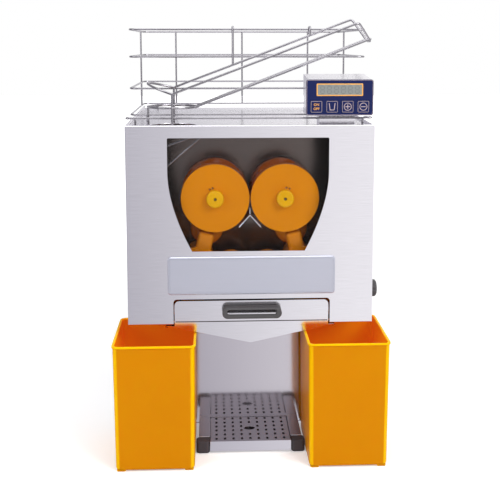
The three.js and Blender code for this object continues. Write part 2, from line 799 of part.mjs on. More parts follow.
// Front cover: a pan hinged at its left edge, with the pane behind its window and the blank name plate
function makeCover() {
  const rearY = housingFrontY + coverDepth;
  const half = housingHalfWidth;
  let cover = block(-half, half, housingFrontY, rearY, housingBottomZ, housingFrontTopZ);
  cover = cover.subtract(block(sheet - half, half - sheet, housingFrontY + sheet, rearY + overrun,
    bellyTopZ, housingFrontTopZ - sheet));
  cover = cover.subtract(slabY(windowShape(0), housingFrontY - overrun, housingFrontY + sheet + overrun,
    outlineSteps));
  const notchHalf = drawerHalfWidth + drawerGap;
  cover = cover.subtract(slabY(roundedShape(drawerCentreX - notchHalf, drawerCentreX + notchHalf,
    housingBottomZ - 2 * drawerCornerRadius, drawerTopZ + drawerTopGap, drawerNotchRadius),
  housingFrontY - overrun, rearY + overrun));
  cover = cover.subtract(rodZ(hingeX, hingeY, boreFor(pinRadius), housingBottomZ - overrun,
    housingFrontTopZ + overrun, smallSides));
  const lowerLug = housingBottomZ + lugInset;
  const upperLug = housingFrontTopZ - 2 * lugInset - lugHeight;
  for (const bottom of [lowerLug, upperLug]) {
    cover = cover.subtract(block(-half - overrun, sheet - half + overrun / 2, hingeY - lugSlotReach,
      rearY + overrun, bottom - overrun / 2, bottom + lugHeight + overrun / 2));
  }
  const tabOuter = half - coverTabInset;
  cover = cover.add(block(tabOuter - sheet, tabOuter, rearY - coverTabInset, rearY + coverTab,
    clampKnobZ - coverTabHeight / 2, clampKnobZ + coverTabHeight / 2));
  cover = cover.add(block(tabOuter - sheet, half - sheet / 2, rearY - coverTabInset, rearY - overrun / 2,
    clampKnobZ - coverTabHeight / 2, clampKnobZ + coverTabHeight / 2));
  add('front_cover', cover, 'steel');

  const paneY = housingFrontY + sheet + clearance;
  add('window_pane', slabY(windowShape(paneLap), paneY, paneY + paneThickness, outlineSteps), 'clear');

  const plateRear = housingFrontY - clearance;
  const bevel = plateThickness / 2;
  const plateBack = slabY(roundedShape(plateCentreX - plateHalfWidth, plateCentreX + plateHalfWidth,
    plateBottomZ, plateBottomZ + plateHeight, plateCornerRadius), plateRear - bevel, plateRear);
  const faceHalf = plateHalfWidth - bevel;
  const plateFace = slabY(roundedShape(plateCentreX - faceHalf, plateCentreX + faceHalf, plateBottomZ + bevel,
    plateBottomZ + plateHeight - bevel, plateCornerRadius - bevel), plateRear - plateThickness, plateRear);
  add('name_plate', plateBack.add(plateFace), 'plate');

  const knobX = half + clearance;
  const knobY = housingFrontY + clampKnobBack;
  const head = rodX(knobY, clampKnobZ, clampKnobRadius, knobX,
    knobX + clampKnobLength - clampKnobRim, smallSides);
  const nose = rodX(knobY, clampKnobZ, clampKnobRadius - clampKnobRim, knobX,
    knobX + clampKnobLength, smallSides);
  const screw = rodX(knobY, clampKnobZ, clampScrewRadius, half - sheet / 2, knobX + overrun, smallSides);
  add('clamp_knob', joined([head, nose, screw]), 'black');
}

// Each drum stands on its own shaft, with its gear in the case behind the back plate
const drums = [
  { name: 'cup', side: 'left', x: -cupAxisX, z: cupAxisZ },
  { name: 'cup', side: 'right', x: cupAxisX, z: cupAxisZ },
  { name: 'ball', side: 'left', x: -ballAxisX, z: ballAxisZ },
  { name: 'ball', side: 'right', x: ballAxisX, z: ballAxisZ },
];

function cupDrum(drum) {
  const faceAngle = drum.side === 'left' ? meshAngle : Math.PI - meshAngle;
  let body = rodY(drum.x, drum.z, drumRadius, drumFrontY, drumRearY, drumSides);
  for (let pocket = 0; pocket < pocketCount; pocket += 1) {
    const angle = faceAngle + pocket * 2 * Math.PI / pocketCount;
    body = body.subtract(ballAt(drum.x + pocketCentre * Math.cos(angle), drumMidY,
      drum.z + pocketCentre * Math.sin(angle), pocketRadius));
  }
  return body.subtract(rodY(drum.x, drum.z, shaftRadius + clearance,
    drumFrontY - overrun, drumRearY + overrun, smallSides));
}

function ballDrum(drum) {
  const faceAngle = (drum.side === 'left' ? meshAngle : Math.PI - meshAngle) + Math.PI;
  let body = rodY(drum.x, drum.z, ballHubRadius, drumFrontY, drumRearY);
  body = body.add(rodY(drum.x, drum.z, ballFlangeRadius, drumFrontY, drumFrontY + ballFlangeLength));
  const spokeRear = drumMidY - ballRadius / 2;
  for (let ball = 0; ball < pocketCount; ball += 1) {
    const angle = faceAngle + ball * 2 * Math.PI / pocketCount;
    const [alongX, alongZ] = [Math.cos(angle), Math.sin(angle)];
    const corner = (reach, across) => [drum.x + reach * alongX - across * alongZ,
      drum.z + reach * alongZ + across * alongX];
    const neck = shapeOf([corner(0, -neckRadius), corner(ballCentre, -neckRadius),
      corner(ballCentre, neckRadius), corner(0, neckRadius)]);
    const spoke = shapeOf([corner(0, -spokeWidth / 2), corner(spokeReach, -spokeWidth / 2),
      corner(spokeReach, spokeWidth / 2), corner(0, spokeWidth / 2)]);
    body = joined([body,
      ballAt(drum.x + ballCentre * alongX, drumMidY, drum.z + ballCentre * alongZ, ballRadius),
      slabY(neck, drumMidY - neckRadius, drumMidY + neckRadius),
      slabY(spoke, drumFrontY, spokeRear)]);
  }
  return body.subtract(rodY(drum.x, drum.z, shaftRadius + clearance,
    drumFrontY - overrun, drumRearY + overrun, smallSides));
}

// Shaft with a thinner tip in front, that the knob screws on
function drumShaft(drum, frontY) {
  const rearY = motorPlateY + motorPlate / 2;
  return turnedY(drum.x, drum.z, [[0, frontY - shaftTipLength], [shaftTipRadius, frontY - shaftTipLength],
    [shaftTipRadius, frontY], [shaftRadius, frontY], [shaftRadius, rearY], [0, rearY]], smallSides);
}

// Round knob with a blind bore behind and a dimple in front
function drumKnob(drum, rearY) {
  const frontY = rearY - drumKnobLength;
  const boreEnd = rearY - shaftTipLength - clearance;
  const dimpleEnd = frontY + dimpleDepth;
  return turnedY(drum.x, drum.z, [
    [0, dimpleEnd], [dimpleRadius, dimpleEnd], [dimpleRadius, frontY],
    [drumKnobRadius - drumKnobRim, frontY], [drumKnobRadius, frontY + drumKnobRim],
    [drumKnobRadius, rearY], [shaftTipRadius + clearance, rearY],
    [shaftTipRadius + clearance, boreEnd], [0, boreEnd]], smallSides);
}

function makeDrums() {
  const cupGearAngle = { left: 0, right: meshedAngle(0, gearTeeth, gearTeeth, 0) };
  const toothAngles = {
    cup: cupGearAngle,
    ball: {
      left: meshedAngle(cupGearAngle.left, gearTeeth, gearTeeth, meshAngle),
      right: meshedAngle(cupGearAngle.right, gearTeeth, gearTeeth, Math.PI - meshAngle),
    },
  };
  for (const drum of drums) {
    const isCup = drum.name === 'cup';
    const label = `${drum.name}_${drum.side}`;
    add(`drum_${label}`, isCup ? cupDrum(drum) : ballDrum(drum), isCup ? 'amber' : 'yellow');
    const knobRearY = isCup ? drumKnobRearY : discRearY;
    if (isCup) {
      const disc = rodY(drum.x, drum.z, drumRadius, discFrontY, discRearY, drumSides);
      add(`disc_${label}`, disc.subtract(rodY(drum.x, drum.z, shaftRadius + clearance,
        discFrontY - overrun, discRearY + overrun, smallSides)), 'yellow');
    }
    add(`knob_${label}`, drumKnob(drum, knobRearY), 'knobYellow');
    add(`shaft_${label}`, drumShaft(drum, knobRearY + clearance), 'darkSteel');
    const gear = slabY(gearShape(gearTeeth, toothAngles[drum.name][drum.side], shaftRadius + clearance),
      gearRearY - gearWidth, gearRearY, smallSides / 2);
    add(`gear_${label}`, gear.translate([drum.x, 0, drum.z]), 'brass');
  }
}

// Back plate, and the cast gear case whose bosses come through it
function makeGearCase() {
  let plate = block(-innerHalfWidth, innerHalfWidth, backPlateY, backPlateRearY,
    bellyTopZ + clearance, trayFloorZ(backPlateY) - sheet - clearance);
  const pinionCase = gearModule * pinionTeeth / 2 + gearModule + pinionWall;
  const centres = drums.map((drum) => [drum.x, drum.z, caseOuterRadius, caseInnerRadius]);
  centres.push([pinionX, pinionZ, pinionCase + caseWall / 2, pinionCase]);
  let body = joined(centres.map(([x, z, outer]) => rodY(x, z, outer, caseFrontY, caseRearY, caseSides)));
  body = body.subtract(joined(centres.map(([x, z, , inner]) =>
    rodY(x, z, inner, caseFrontY + caseWall, caseRearY + overrun, caseSides))));
  let motor = joined(centres.map(([x, z, outer]) =>
    rodY(x, z, outer, motorPlateY, motorPlateY + motorPlate, caseSides)));
  for (const drum of drums) {
    plate = plate.subtract(rodY(drum.x, drum.z, bossRadius + bossGap,
      backPlateY - overrun, backPlateRearY + overrun));
    body = body.add(rodY(drum.x, drum.z, bossRadius, bossFrontY, caseFrontY + caseWall));
    body = body.subtract(rodY(drum.x, drum.z, boreFor(shaftRadius),
      bossFrontY - overrun, caseFrontY + caseWall + overrun, smallSides));
    motor = motor.subtract(rodY(drum.x, drum.z, boreFor(shaftRadius),
      motorPlateY - overrun, motorPlateY + motorPlate / 2 + clearance, smallSides));
  }
  add('drum_back_plate', plate, 'steel');
  add('gear_case', body, 'cast');

  const plateRear = motorPlateY + motorPlate;
  const gearboxRear = plateRear + gearboxLength;
  const motorRear = gearboxRear + motorLength;
  motor = joined([motor,
    rodY(pinionX, pinionZ, gearboxRadius, motorPlateY, gearboxRear),
    rodY(pinionX, pinionZ, motorRadius, gearboxRear - overrun, motorRear),
    rodY(pinionX, pinionZ, motorCapRadius, motorRear - overrun, motorRear + motorCapLength)]);
  const shaftRear = gearRearY + pinionShaftLength;
  motor = motor.subtract(rodY(pinionX, pinionZ, boreFor(pinionShaftRadius),
    motorPlateY - overrun, shaftRear + clearance, smallSides));
  add('gear_motor', motor, 'motorGrey');

  const pinionTooth = meshedAngle(0, gearTeeth, pinionTeeth, THREE.MathUtils.degToRad(pinionAngle));
  const pinion = slabY(gearShape(pinionTeeth, pinionTooth, 0), gearRearY - gearWidth, gearRearY)
    .translate([pinionX, 0, pinionZ]);
  add('motor_pinion', pinion.add(rodY(pinionX, pinionZ, pinionShaftRadius,
    gearRearY - gearWidth / 2, shaftRear, smallSides)), 'darkSteel');
}

// Knife between the drums, on its folded holder
function makeKnife() {
  const frontY = drumFrontY + knifeFront;
  const rearY = backPlateY - clearance;
  const fold = knifeSheet * Math.SQRT2;
  const holder = slabY(shapeOf([
    [0, knifeApexZ], [-knifeArmX, knifeArmZ], [-knifeArmX, knifeArmZ - fold], [0, knifeApexZ - fold],
    [knifeArmX, knifeArmZ - fold], [knifeArmX, knifeArmZ]]), frontY, rearY);
  add('knife_holder', holder, 'steel');
  const foot = knifeApexZ + clearance;
  const head = foot + bladeHeight;
  const half = bladeThickness / 2;
  const shoulder = foot + bladeHeight * bladeBevelShare;
  add('knife_blade', slabY(shapeOf([
    [-half, foot], [half, foot], [half, shoulder], [0, head], [-half, shoulder]]),
  frontY, rearY), 'chrome');
}

// Peel chutes: each strips the peel at the ball drum and leads it out over the bin
function makeChutes() {
  for (const side of [-1, 1]) {
    const rearY = backPlateY - clearance;
    const frontY = drawerFrontY + coverDepth + overrun;
    const deck = slabY(shapeOf([
      [side * chuteTopX, chuteTopZ], [side * chuteBendX, chuteBendZ], [side * chuteBendX, chuteFootZ],
      [side * (chuteBendX - sheet), chuteFootZ], [side * (chuteBendX - sheet), chuteBendZ - sheet],
      [side * chuteTopX, chuteTopZ - sheet]]), frontY, rearY);
    const hubGap = ballHubRadius + ejectorGap;
    const [tipX, tipZ, climb] = ejectorShares;
    const ejector = slabY(shapeOf([
      [side * (ballAxisX + hubGap * tipX), ballAxisZ - hubGap * tipZ],
      [side * chuteBendX, ballAxisZ + (ballAxisZ - chuteTopZ) * climb],
      [side * chuteBendX, chuteBendZ - sheet],
      [side * chuteTopX, chuteTopZ - sheet]]), rearY - ejectorThickness, rearY);
    const name = side < 0 ? 'peel_chute_left' : 'peel_chute_right';
    add(name, deck.add(ejector), 'yellow');
  }
}

// Wire guide that lets the fruit down onto the left cup drum
function makeDropGuide() {
  const rearY = backPlateY - clearance;
  const guide = bentWire([
    [guideUpperX, rearY, guideUpperZ], [guideUpperX, guideY, guideUpperZ],
    [guideApexX, guideY, guideApexZ],
    [guideLowerX, guideY, guideLowerZ], [guideLowerX, rearY, guideLowerZ],
  ], guideBend, guideRadius);
  add('drop_guide', guide, 'chrome');
}

// Drawer with its filter screen and handle
function makeDrawer() {
  const frontRear = drawerFrontY + sheet;
  const front = slabY(roundedShape(drawerCentreX - drawerHalfWidth, drawerCentreX + drawerHalfWidth,
    drawerBottomZ - drawerCornerRadius, drawerTopZ, drawerCornerRadius), drawerFrontY, frontRear)
    .subtract(block(drawerCentreX - drawerHalfWidth - overrun, drawerCentreX + drawerHalfWidth + overrun,
      drawerFrontY - overrun, frontRear + overrun, drawerBottomZ - 2 * drawerCornerRadius, drawerBottomZ));
  const left = drawerCentreX - drawerBodyHalf;
  const right = drawerCentreX + drawerBodyHalf;
  const body = block(left, right, drawerFrontY + overrun, drawerRearY, drawerBodyBottomZ, drawerWallTopZ);
  const well = block(left + sheet, right - sheet, frontRear, drawerRearY - sheet,
    drawerBodyBottomZ + sheet, drawerWallTopZ + overrun);
  const outlet = block(left + drawerLedge, right - drawerLedge, frontRear + drawerLedge,
    drawerRearY - drawerLedge, drawerBodyBottomZ - overrun, drawerWallTopZ);
  const flangeBottom = bellyTopZ + clearance;
  const flangeHalf = drawerHalfWidth - sheet;
  let drawer = body.subtract(well).subtract(outlet);
  for (const side of [-1, 1]) {
    const across = [drawerCentreX + side * (drawerBodyHalf - overrun), drawerCentreX + side * flangeHalf];
    drawer = drawer.add(block(Math.min(...across), Math.max(...across), frontRear - overrun, drawerRearY,
      flangeBottom, flangeBottom + sheet));
  }
  add('filter_drawer', drawer.add(front), 'steel');

  const inset = sheet + clearance;
  const screenBottom = drawerBodyBottomZ + sheet + clearance;
  let screen = block(left + inset, right - inset, frontRear + clearance, drawerRearY - inset,
    screenBottom, screenBottom + sheet);
  const slotPitch = (right - left - 2 * screenMargin) / (screenSlots + 1);
  for (let slot = 0; slot < screenSlots; slot += 1) {
    const x = left + screenMargin + (slot + 1) * slotPitch;
    const half = slotPitch * screenSlotShare / 2;
    screen = screen.subtract(block(x - half, x + half, frontRear + 2 * screenMargin,
      drawerRearY - 2 * screenMargin, screenBottom - overrun, screenBottom + sheet + overrun));
  }
  add('filter_screen', screen, 'darkSteel');

  const handleRear = drawerFrontY - clearance;
  const handleFront = handleRear - handleReach;
  const corner = (handleTopZ - handleBottomZ) / 2 - clearance;
  const handleLeft = drawerCentreX - handleHalfWidth;
  const handleRight = drawerCentreX + handleHalfWidth;
  const outer = slabY(roundedShape(handleLeft, handleRight, handleBottomZ, handleTopZ, corner),
    handleFront, handleRear, outlineSteps);
  const gapBottomZ = handleBottomZ + handleGripHeight;
  const gapTopZ = handleTopZ - handleTopBar;
  const gap = slabY(roundedShape(handleLeft + handleEnd, handleRight - handleEnd, gapBottomZ, gapTopZ,
    (gapTopZ - gapBottomZ) / 2 - clearance), handleFront - overrun, handleRear + overrun);
  const reachIn = block(handleLeft + handleEnd, handleRight - handleEnd, handleFront + handleGripDepth,
    handleRear - handleEdge, handleBottomZ - overrun, gapTopZ);
  add('drawer_handle', outer.subtract(gap).subtract(reachIn), 'black');
}

// Juice tray with its V floor and outlet, hung on the rails under the belly
function makeJuiceTray() {
  const flange = trayHalfWidth + trayLip;
  const under = trayTopZ - sheet;
  const outer = slabY(shapeOf([
    [-flange, trayTopZ], [-flange, under], [-trayHalfWidth, under], [0, trayApexZ],
    [trayHalfWidth, under], [flange, under], [flange, trayTopZ]]), trayFrontY, trayRearY);
  const innerHalf = trayHalfWidth - 2 * sheet;
  const inner = slabY(shapeOf([
    [-innerHalf, trayTopZ + overrun], [-innerHalf, under + overrun / 2], [0, trayApexZ + sheet],
    [innerHalf, under + overrun / 2], [innerHalf, trayTopZ + overrun]]),
  trayFrontY + sheet, trayRearY - sheet);
  const outlet = rodZ(0, spoutY, spoutRadius, trayApexZ - overrun, trayTopZ + overrun);
  const drawerPath = block(-innerHalf, innerHalf, trayFrontY - overrun, trayRearY + overrun,
    drawerBottomZ - 2 * clearance, trayTopZ + overrun);
  add('juice_tray', outer.subtract(inner).subtract(outlet).subtract(drawerPath), 'steel');
}

// Waste bins under the peel openings, tapered, with a rolled rim and corner feet
function binShell(side) {
  const inner = (inset) => binInnerX + inset;
  const outline = (inset) => {
    const xs = [side * inner(inset), side * (binOuterX - inset)];
    return roundedShape(Math.min(...xs), Math.max(...xs), binFrontY + inset, binRearY - inset, binCorner);
  };
  const tapered = (inset, footInset, z0, z1) => {
    const geometry = extruded(outline(inset), 1, cornerSteps);
    const centre = [side * (binInnerX + binOuterX) / 2, (binFrontY + binRearY) / 2];
    const position = geometry.attributes.position;
    const halfX = (binOuterX - binInnerX) / 2 - inset;
    const halfY = (binRearY - binFrontY) / 2 - inset;
    for (let i = 0; i < position.count; i += 1) {
      const atTop = position.getZ(i) > 0;
      const shrinkX = atTop ? 1 : (halfX - footInset) / halfX;
      const shrinkY = atTop ? 1 : (halfY - footInset) / halfY;
      position.setXYZ(i, centre[0] + (position.getX(i) - centre[0]) * shrinkX,
        centre[1] + (position.getY(i) - centre[1]) * shrinkY, atTop ? z1 : z0);
    }
    return solidOf(geometry);
  };
  const body = tapered(binRimReach, binDraft, binFootHeight, binHeight);
  const rim = slabZ(outline(0), binHeight - binRimHeight, binHeight);
  const hollow = tapered(binRimReach + binWall, binDraft, binFootHeight + binWall, binHeight + overrun);
  let bin = body.add(rim).subtract(hollow);
  for (const alongX of [0, 1]) {
    for (const alongY of [0, 1]) {
      const inset = binRimReach + binDraft + binFootHeight;
      const x = side * (alongX ? binOuterX - inset - binFootWidth : binInnerX + inset);
      const y = alongY ? binRearY - inset - binFootWidth : binFrontY + inset;
      const xs = [x, x + side * binFootWidth];
      bin = bin.add(block(Math.min(...xs), Math.max(...xs), y, y + binFootWidth, 0, binFootHeight + overrun));
    }
  }
  return bin;
}

// Fruit basket: closed wire loops on posts
function makeBasket() {
  const pieces = [];
  const half = basketHalfWidth;
  for (const z of basketHeights) {
    pieces.push(bentWire([
      [0, basketRearY, z], [-half, basketRearY, z], [-half, basketFrontY, z], [half, basketFrontY, z],
      [half, basketRearY, z], [0, basketRearY, z]], basketCorner, basketWireRadius));
  }
  const low = basketHeights[0];
  const high = basketHeights[basketHeights.length - 1];
  const post = (x, y, bottom, top) => wireAlong(
    [new THREE.Vector3(x, y, bottom), new THREE.Vector3(x, y, top)], basketWireRadius);
  for (const x of basketPostsX) pieces.push(post(x, basketRearY, low, high));
  for (const side of [-1, 1]) {
    pieces.push(post(side * half, basketSidePostY, low, high));
    for (const y of [basketFrontY, basketRearY]) {
      pieces.push(post(side * basketLegX, y, trayFloorZ(y) + clearance, low));
    }
  }
  add('fruit_basket', joined(pieces), 'chrome');
}

// Feed ramp: two floor wires, front and rear guards that meet round the low end, and the drop ring
function makeRamp() {
  const slope = (rampGuardHighZ - rampGuardLowZ) / (rampGuardHighX - feedX);
  const rearHighZ = rampGuardRearZ + slope * (rampGuardHighX - feedX);
  const midY = (rampFrontY + rampRearY) / 2;
  const endLoop = [];
  for (let step = 1; step < ringSteps / 2; step += 1) {
    const turn = Math.PI * step / (ringSteps / 2);
    const lift = Math.sin(turn);
    const base = THREE.MathUtils.lerp(rampGuardLowZ, rampGuardRearZ, step / (ringSteps / 2));
    const rise = rampGuardLoopZ - (rampGuardLowZ + rampGuardRearZ) / 2;
    endLoop.push([feedX - rampRingRadius * Math.sin(turn), midY - rampRingRadius * Math.cos(turn),
      base + rise * lift]);
  }
  const crossZ = rampFloorHighZ - 2 * rampWireRadius + clearance;
  const guard = bentWire([
    [rampFloorHighX, midY, crossZ], [rampFloorHighX, rampFloorYs[0], crossZ],
    [rampGuardHighX, rampFrontY, rampGuardHighZ], [feedX, rampFrontY, rampGuardLowZ],
    ...endLoop,
    [feedX, rampRearY, rampGuardRearZ], [rampGuardHighX, rampRearY, rearHighZ],
    [rampFloorHighX, rampFloorYs[1], crossZ], [rampFloorHighX, midY, crossZ],
  ], rampEndBend, rampWireRadius);
  const pieces = [guard];
  const ring = [];
  for (let step = 0; step <= ringSteps; step += 1) {
    const turn = 2 * Math.PI * step / ringSteps;
    ring.push(new THREE.Vector3(feedX + rampRingRadius * Math.cos(turn),
      midY + rampRingRadius * Math.sin(turn), rampRingZ));
  }
  pieces.push(wireAlong(ring, rampWireRadius));
  const straight = (from, to) => wireAlong(
    [new THREE.Vector3(...from), new THREE.Vector3(...to)], rampWireRadius);
  for (const y of rampFloorYs) {
    const ringX = feedX + Math.sqrt(rampRingRadius ** 2 - (y - midY) ** 2);
    pieces.push(straight([ringX - rampWireRadius, y, rampRingZ],
      [rampFloorHighX + rampWireRadius, y, rampFloorHighZ]));
  }
  for (const [y, top] of [[rampFrontY, rampGuardLowZ], [rampRearY, rampGuardRearZ]]) {
    pieces.push(straight([feedX, y, trayFloorZ(y) + clearance], [feedX, y, top]));
  }
  pieces.push(straight([feedX - rampRingRadius, midY, trayFloorZ(midY) + clearance],
    [feedX - rampRingRadius, midY, rampRingZ]));
  const over = basketHeights[basketHeights.length - 1] + basketWireRadius + clearance + rampWireRadius;
  for (const x of hookXs) {
    const guardZ = rampGuardRearZ + slope * (x - feedX);
    const behind = 2 * basketFrontY - rampRearY;
    pieces.push(bentWire([[x, rampRearY, guardZ], [x, rampRearY, over], [x, behind, over],
      [x, behind, over - hookDrop]], hookBend, rampWireRadius));
  }
  add('feed_ramp', joined(pieces), 'chrome');
}

// Control box on its pedestal, with the blue panel, the display and four sprung keys
function makeControl() {
  const panelRear = controlFrontY + controlPanel;
  const shellFront = panelRear + clearance;
  const outer = slabX(shapeOf([
    [shellFront, controlBottomZ], [controlRearY, controlBottomZ],
    [controlRearY, controlTopZ + controlRearRise], [shellFront, controlTopZ]]),
  controlLeftX + controlInset, controlRightX - controlInset);
  const inner = block(controlLeftX + controlInset + sheet, controlRightX - controlInset - sheet,
    shellFront - overrun, controlRearY - sheet, controlBottomZ + sheet, controlTopZ - sheet);
  const pedestalBottom = trayFloorZ(pedestalRearY) + clearance;
  const pedestal = block(controlLeftX + pedestalInset, controlRightX - pedestalInset,
    pedestalFrontY, pedestalRearY, pedestalBottom, controlBottomZ + sheet / 2);
  add('control_housing', outer.subtract(inner).add(pedestal), 'steel');

  let panel = slabY(roundedShape(controlLeftX, controlRightX, controlBottomZ, controlTopZ, controlCorner),
    controlFrontY, panelRear);
  panel = panel.subtract(slabY(roundedShape(displayLeftX - clearance, displayRightX + clearance,
    displayBottomZ - clearance, displayTopZ + clearance, displayCorner + clearance),
  controlFrontY - overrun, panelRear + overrun));
  for (let key = 0; key < keyCount; key += 1) {
    const x = keyFirstX + key * keyPitch;
    const half = keySize / 2;
    const hole = roundedShape(x - half - clearance, x + half + clearance,
      keyZ - half - clearance, keyZ + half + clearance, keyCorner);
    panel = panel.subtract(slabY(hole, controlFrontY - overrun, panelRear + overrun));
    const face = slabY(roundedShape(x - half, x + half, keyZ - half, keyZ + half, keyCorner),
      controlFrontY - keyProud, panelRear + clearance + keyFlangeDepth / 2);
    const wide = half + clearance + keyFlange;
    const flange = slabY(roundedShape(x - wide, x + wide, keyZ - wide, keyZ + wide, keyCorner),
      panelRear + clearance, panelRear + clearance + keyFlangeDepth);
    add(`key_${key + 1}`, face.add(flange), 'blue');
  }
  add('control_panel', panel, 'blue');
  add('display', slabY(roundedShape(displayLeftX, displayRightX, displayBottomZ, displayTopZ, displayCorner),
    controlFrontY, panelRear), 'display');
}

// Power inlet in the rear panel: a flanged body with a recess and three blades
function makeInlet() {
  const body = block(inletX - inletHalfWidth, inletX + inletHalfWidth, rearPanelY - inletDepth,
    rearPanelY + clearance + overrun, inletZ - inletHalfHeight, inletZ + inletHalfHeight);
  const flange = block(inletX - inletHalfWidth - inletFlange, inletX + inletHalfWidth + inletFlange,
    rearPanelY + clearance, rearPanelY + clearance + inletFlangeDepth,
    inletZ - inletHalfHeight - inletFlange, inletZ + inletHalfHeight + inletFlange);
  const floorY = rearPanelY - inletRecess;
  const recess = block(inletX - inletHalfWidth + inletWall, inletX + inletHalfWidth - inletWall, floorY,
    rearPanelY + inletFlangeDepth + overrun, inletZ - inletHalfHeight + inletWall,
    inletZ + inletHalfHeight - inletWall);
  let inlet = body.add(flange).subtract(recess);
  for (const [stepX, stepZ] of [[-1, -1], [0, 1], [1, -1]]) {
    const x = inletX + stepX * inletHalfWidth / 2;
    const z = inletZ + stepZ * inletWall;
    inlet = inlet.add(block(x - inletBladeHalf, x + inletBladeHalf, floorY - overrun, rearPanelY - inletWall,
      z - 2 * inletBladeHalf, z + 2 * inletBladeHalf));
  }
  add('power_inlet', inlet, 'black');
}

makeBase();
makeDripTray();
makeHousing();
makeTopTray();
makeCover();
makeGearCase();
makeDrums();
makeKnife();
makeChutes();
makeDropGuide();
makeDrawer();
makeJuiceTray();
add('bin_left', binShell(-1), 'binOrange');
add('bin_right', binShell(1), 'binOrange');
makeBasket();
makeRamp();
makeControl();
makeInlet();

export default juicer;
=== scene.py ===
"""Automatic orange juicer with two waste bins, dressed round its fixed frame.

Every form is drawn in millimetres where it belongs, and turned into metres when it becomes a piece.
"""

import logging
import math
from dataclasses import dataclass, field
from enum import Enum

import bmesh
import bpy
from mathutils import Matrix, Vector


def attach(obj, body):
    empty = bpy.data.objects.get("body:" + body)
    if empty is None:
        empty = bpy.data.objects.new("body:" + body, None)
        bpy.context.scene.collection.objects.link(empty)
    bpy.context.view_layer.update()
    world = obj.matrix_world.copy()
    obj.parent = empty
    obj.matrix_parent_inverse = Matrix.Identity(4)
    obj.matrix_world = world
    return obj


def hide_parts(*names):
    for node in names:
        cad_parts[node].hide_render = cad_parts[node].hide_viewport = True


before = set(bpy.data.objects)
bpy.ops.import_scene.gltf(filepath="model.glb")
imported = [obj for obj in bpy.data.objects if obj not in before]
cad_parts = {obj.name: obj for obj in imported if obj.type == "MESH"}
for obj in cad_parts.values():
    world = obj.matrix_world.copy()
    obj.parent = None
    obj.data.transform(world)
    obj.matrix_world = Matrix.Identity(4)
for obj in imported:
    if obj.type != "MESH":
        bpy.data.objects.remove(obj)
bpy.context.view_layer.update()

log = logging.getLogger("juicer")

Colour = tuple[float, float, float]
Flat = tuple[float, float]
Point = tuple[float, float, float]
Cloud = tuple[float, Colour, float]

METRES = 0.001
SHARP_EDGE = math.radians(38)
GAP = 0.3
SHEET = 2.0
# How far a cutting form reaches past what it cuts
PAST = 3.0

EVEN: Colour = (1.0, 1.0, 1.0)
WHITE: Colour = (1.0, 1.0, 1.0)
BLACK: Colour = (0.0, 0.0, 0.0)


class Value:
    """A socket that holds a number, and that can stand in a sum."""

    def __init__(self, recipe: "Recipe", socket: bpy.types.NodeSocket) -> None:
        """Wrap a socket of a recipe's tree."""
        self.recipe = recipe
        self.socket = socket

    def _sum(self, operation: str, first: "Value | float", second: "Value | float") -> "Value":
        """Add a Math node.

        Args:
            operation: What the node does.
            first: Its first number.
            second: Its second number.

        Returns:
            The node's result.
        """
        node = self.recipe.node("ShaderNodeMath", {"operation": operation}, {0: first, 1: second})
        return Value(self.recipe, node.outputs[0])

    def __add__(self, other: "Value | float") -> "Value":
        """Sum of the two."""
        return self._sum("ADD", self, other)

    def __radd__(self, other: float) -> "Value":
        """Sum of the two."""
        return self._sum("ADD", other, self)

    def __sub__(self, other: "Value | float") -> "Value":
        """This less the other."""
        return self._sum("SUBTRACT", self, other)

    def __rsub__(self, other: float) -> "Value":
        """The other less this."""
        return self._sum("SUBTRACT", other, self)

    def __mul__(self, other: "Value | float") -> "Value":
        """Product of the two."""
        return self._sum("MULTIPLY", self, other)

    def __rmul__(self, other: float) -> "Value":
        """Product of the two."""
        return self._sum("MULTIPLY", other, self)

    def __truediv__(self, other: "Value | float") -> "Value":
        """This divided by the other."""
        return self._sum("DIVIDE", self, other)

    def __rtruediv__(self, other: float) -> "Value":
        """The other divided by this."""
        return self._sum("DIVIDE", other, self)

    def larger(self, other: "Value | float") -> "Value":
        """The larger of the two."""
        return self._sum("MAXIMUM", self, other)

    def size(self) -> "Value":
        """The number without its sign."""
        return self._sum("ABSOLUTE", self, 0.0)

    def eased(self, low: float, high: float) -> "Value":
        """Rise smoothly from 0 at one value to 1 at another.

        Args:
            low: Where the rise starts.
            high: Where it ends.

        Returns:
            The eased value.
        """
        node = self.recipe.node("ShaderNodeMapRange", {"interpolation_type": "SMOOTHSTEP"},
                                {0: self, 1: low, 2: high, 3: 0.0, 4: 1.0})
        return Value(self.recipe, node.outputs[0])


